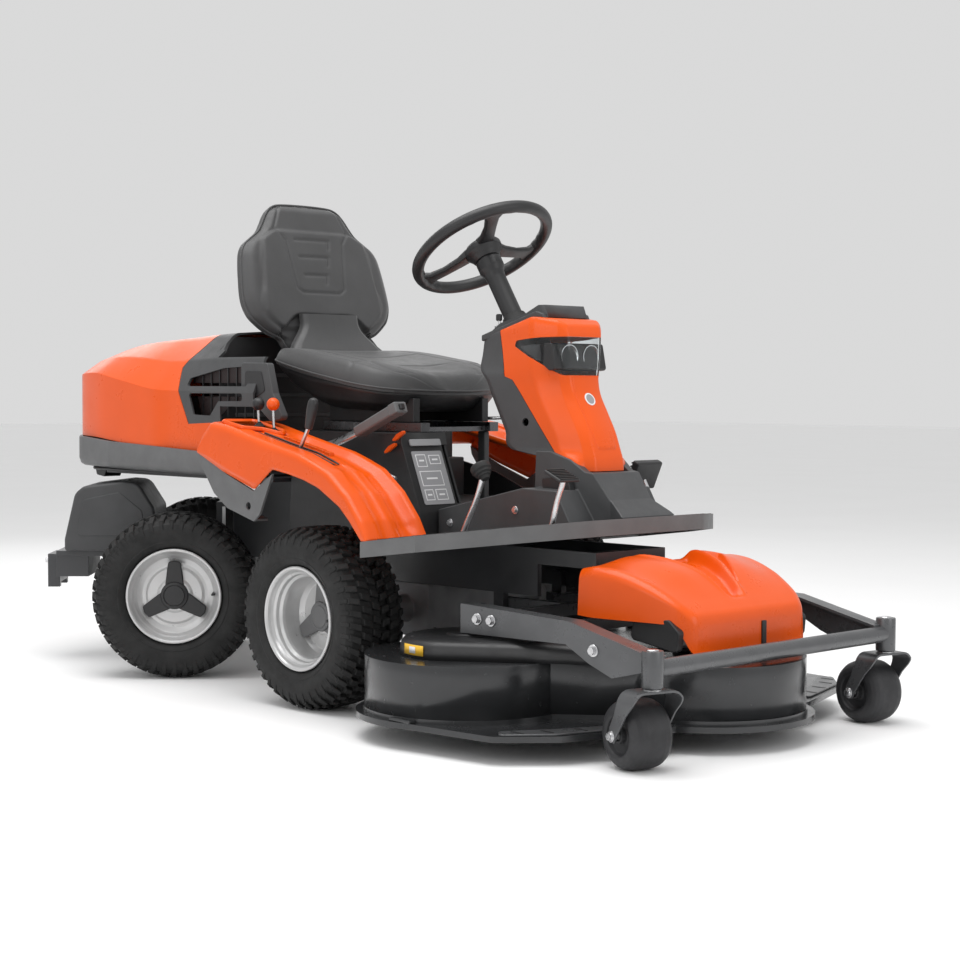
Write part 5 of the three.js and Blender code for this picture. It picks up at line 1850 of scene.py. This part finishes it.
def pedals():
    forward = pedal_rod("forward_pedal_rod",
                        [(352, -271, 384), (380, -271, 436), (402, -271, 474), (418, -271, 512),
                                              (424, -271, 536)], "forward_drive_pedal")
    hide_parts("forward_pedal")
    pad_place = PLAIN @ axis_to((424, -271, 536), (412, -271, 552))
    boot = [(0.01, -16), (9, -16), (11, -10), (15, -8), (14, -4), (19, -2), (18.5, 3), (22, 6), (22, 16),
            (19, 20), (0.01, 21)]
    pad = lathe("forward_pedal_boot", filleted(boot, [0] + [1.5] * 9 + [0], 2), BELT_RUBBER,
                "forward_drive_pedal", pad_place, 48)
    reverse = pedal_rod("reverse_pedal_rod",
                        [(580, -231, 412), (590, -231, 445), (600, -231, 480), (612, -231, 510),
                                              (618, -231, 528)], "reverse_drive_pedal")
    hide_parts("reverse_pedal")
    tilt = turned(24, "Y")
    place = placed(615, -232, 536, tilt)
    plate = block("reverse_pedal_plate", (-25, -30, -4), (25, 30, 3), BLACK, "reverse_drive_pedal", place,
                  3)
    pedal_ribs("reverse", (-21, 21), 26, "reverse_drive_pedal", place)
    brake = pedal_rod("brake_pedal_rod",
                      [(455, 262, 394), (448, 262, 420), (436, 262, 450), (416, 262, 486),
                                          (404, 262, 508)], "brake")
    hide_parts("brake_pedal")
    place = placed(400, 262, 520, turned(-66, "Y"))
    plate = block("brake_pedal_plate", (-34, -44, -16), (34, 44, 3), BLACK, "brake", place, 5)
    pedal_ribs("brake", (-26, 26), 43, "brake", place)


def pedal_ribs(label, span, half, body, place):
    low, high = span
    count = 7
    for k in range(count):
        x = low + (high - low) * k / (count - 1)
        rib = block(f"{label}_pedal_rib_{k}", (x - 1.8, -half, 2.6), (x + 1.8, half, 5), BELT_RUBBER, body,
                    place, 0.7, 2)


def grip_profile(radius, length):
    half = [(0.01, 0), (radius * 0.62, 0), (radius * 0.72, length * 0.05), (radius * 0.86, length * 0.3),
            (radius, length * 0.62), (radius * 0.96, length * 0.84), (radius * 0.7, length * 0.96),
            (0.01, length)]
    return filleted(half, [0, 2, 3, 20, 20, 6, 6, 0], 4)


def ball_profile(radius):
    steps = 16
    turns = [math.pi * k / steps for k in range(steps + 1)]
    return [(radius * math.sin(a) + 0.01, radius * (1 - math.cos(a))) for a in turns]


def levers():
    rod_piece = bar("height_lever_rod",
                    smooth_path([(-60, -388, 545), (-42, -388, 572), (-8, -388, 628)], 8), 4.5,
                    ZINC, "height_handle", PLAIN, 20)
    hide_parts("height_lever")
    grip = lathe("height_lever_grip", grip_profile(12.5, 72), BLACK, "height_handle",
                 PLAIN @ axis_to((-10, -388, 622), (11, -388, 694)), 48)
    for label, x, colour, slot in (("throttle", -242, BLACK, "black_plastic"),
                                   ("choke", -186, ORANGE, "orange_plastic")):
        stalk = bar(f"{label}_stalk", [(x, -346, 590), (x - 4, -346, 664)], 3.2, ZINC, label, PLAIN, 16)
        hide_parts(f"{label}_lever")
        knob = lathe(f"{label}_knob", ball_profile(15), colour, label,
                     PLAIN @ axis_to((x - 3.9, -346, 660), (x - 5.4, -346, 690)), 48)
    lift_handle()


def lift_handle():
    body = "lift_handle"
    arm = sweep("lift_lever_arm", smooth_path([(-150, -250, 540), (-132, -250, 572), (-84, -250, 586),
                                               (16, -250, 620)], 8),
                filleted([(-3.5, -15), (3.5, -15), (3.5, 15), (-3.5, 15)], 2, 2), ZINC, body)
    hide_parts("lift_lever")
    along = PLAIN @ axis_to((-38, -250, 597), (136, -250, 669))
    grip = block("lift_lever_grip", (-17, -12, 42), (17, 12, 172), MID_GREY, body, along, 5, 4)
    end = block("lift_lever_end", (-18, -13, 170), (18, 13, 196), MID_GREY, body, along, 4, 4)
    button = block("lift_lever_button", (-7, -7, 192), (7, 7, 202), BLACK, body, along, 3, 3)
    pivot = lathe("lift_lever_pivot", [(0.01, -9), (15, -9), (15, 9), (0.01, 9)], ZINC, body,
                  placed(-150, -250, 540, turned(90, "X")), 40)


# ---- studio ---------------------------------------------------------------------------------
def studio():
    scene = bpy.context.scene
    right = Vector((math.cos(CAMERA_TURN), math.sin(CAMERA_TURN), 0))
    rolled = right * math.cos(CAMERA_ROLL) + CAMERA_BACK.cross(right) * math.sin(CAMERA_ROLL)
    up = CAMERA_BACK.cross(rolled)
    target = Vector((AXLE_X, 0, 0)) + right * CAMERA_SHIFT + Vector((0, 0, CAMERA_AIM_HEIGHT))
    camera = bpy.data.objects.new("camera", bpy.data.cameras.new("camera"))
    turn = Matrix((rolled, up, CAMERA_BACK)).transposed().to_4x4()
    camera.matrix_world = Matrix.Translation(target + CAMERA_BACK * CAMERA_DISTANCE) @ turn
    camera.data.lens = CAMERA_LENS
    camera.data.sensor_width = 36
    camera.data.clip_end = 60
    scene.collection.objects.link(camera)
    scene.camera = camera
    floor()
    lights(scene)
    scene.view_settings.view_transform = "Standard"
    scene.view_settings.look = "None"
    scene.view_settings.exposure = 0.15


def floor():
    mesh = bpy.data.meshes.new("floor")
    mesh.from_pydata([(-30, -30, 0), (30, -30, 0), (30, 30, 0), (-30, 30, 0)], [], [(0, 1, 2, 3)])
    ground = bpy.data.objects.new("floor", mesh)
    bpy.context.scene.collection.objects.link(ground)
    mat, tree, shader = nodes_of("studio_floor")
    mottled(tree, shader, (0.96, 0.96, 0.96), 0.01, 1.5)
    shader.inputs["Roughness"].default_value = 0.65
    shader.inputs["Specular IOR Level"].default_value = 0.15
    mesh.materials.append(mat)


def area_light(scene, name, place, target, size, power):
    lamp = bpy.data.lights.new(name, "AREA")
    lamp.shape = "RECTANGLE"
    lamp.size, lamp.size_y = size
    lamp.energy = power
    holder = bpy.data.objects.new(name, lamp)
    aim = Vector(target) - Vector(place)
    holder.matrix_world = Matrix.Translation(place) @ aim.to_track_quat("-Z", "Y").to_matrix().to_4x4()
    scene.collection.objects.link(holder)


def lights(scene):
    world = bpy.data.worlds.new("studio")
    world.use_nodes = True
    shade = world.node_tree.nodes["Background"]
    shade.inputs["Color"].default_value = (1, 1, 1, 1)
    shade.inputs["Strength"].default_value = 0.63
    scene.world = world
    area_light(scene, "top_softbox", (0.2, -0.6, 3.6), (0, 0, 0.4), (3.6, 2.6), 92)
    area_light(scene, "right_softbox", (1.0, -3.8, 1.9), (0, 0, 0.5), (2.4, 1.8), 15)
    area_light(scene, "front_softbox", (4.0, 0.4, 1.6), (0.4, 0, 0.4), (1.8, 1.8), 16)
    area_light(scene, "rear_softbox", (-3.6, 1.6, 2.4), (0, 0, 0.6), (2.6, 1.6), 18)


# ---- assembly ---------------------------------------------------------------------------------
wheels()
casters()
structure()
hood()
surround()
counterweight()
seat()
pedestal()
fenders()
footplate()
deck()
tower()
steering()
key()
pedals()
levers()
studio()
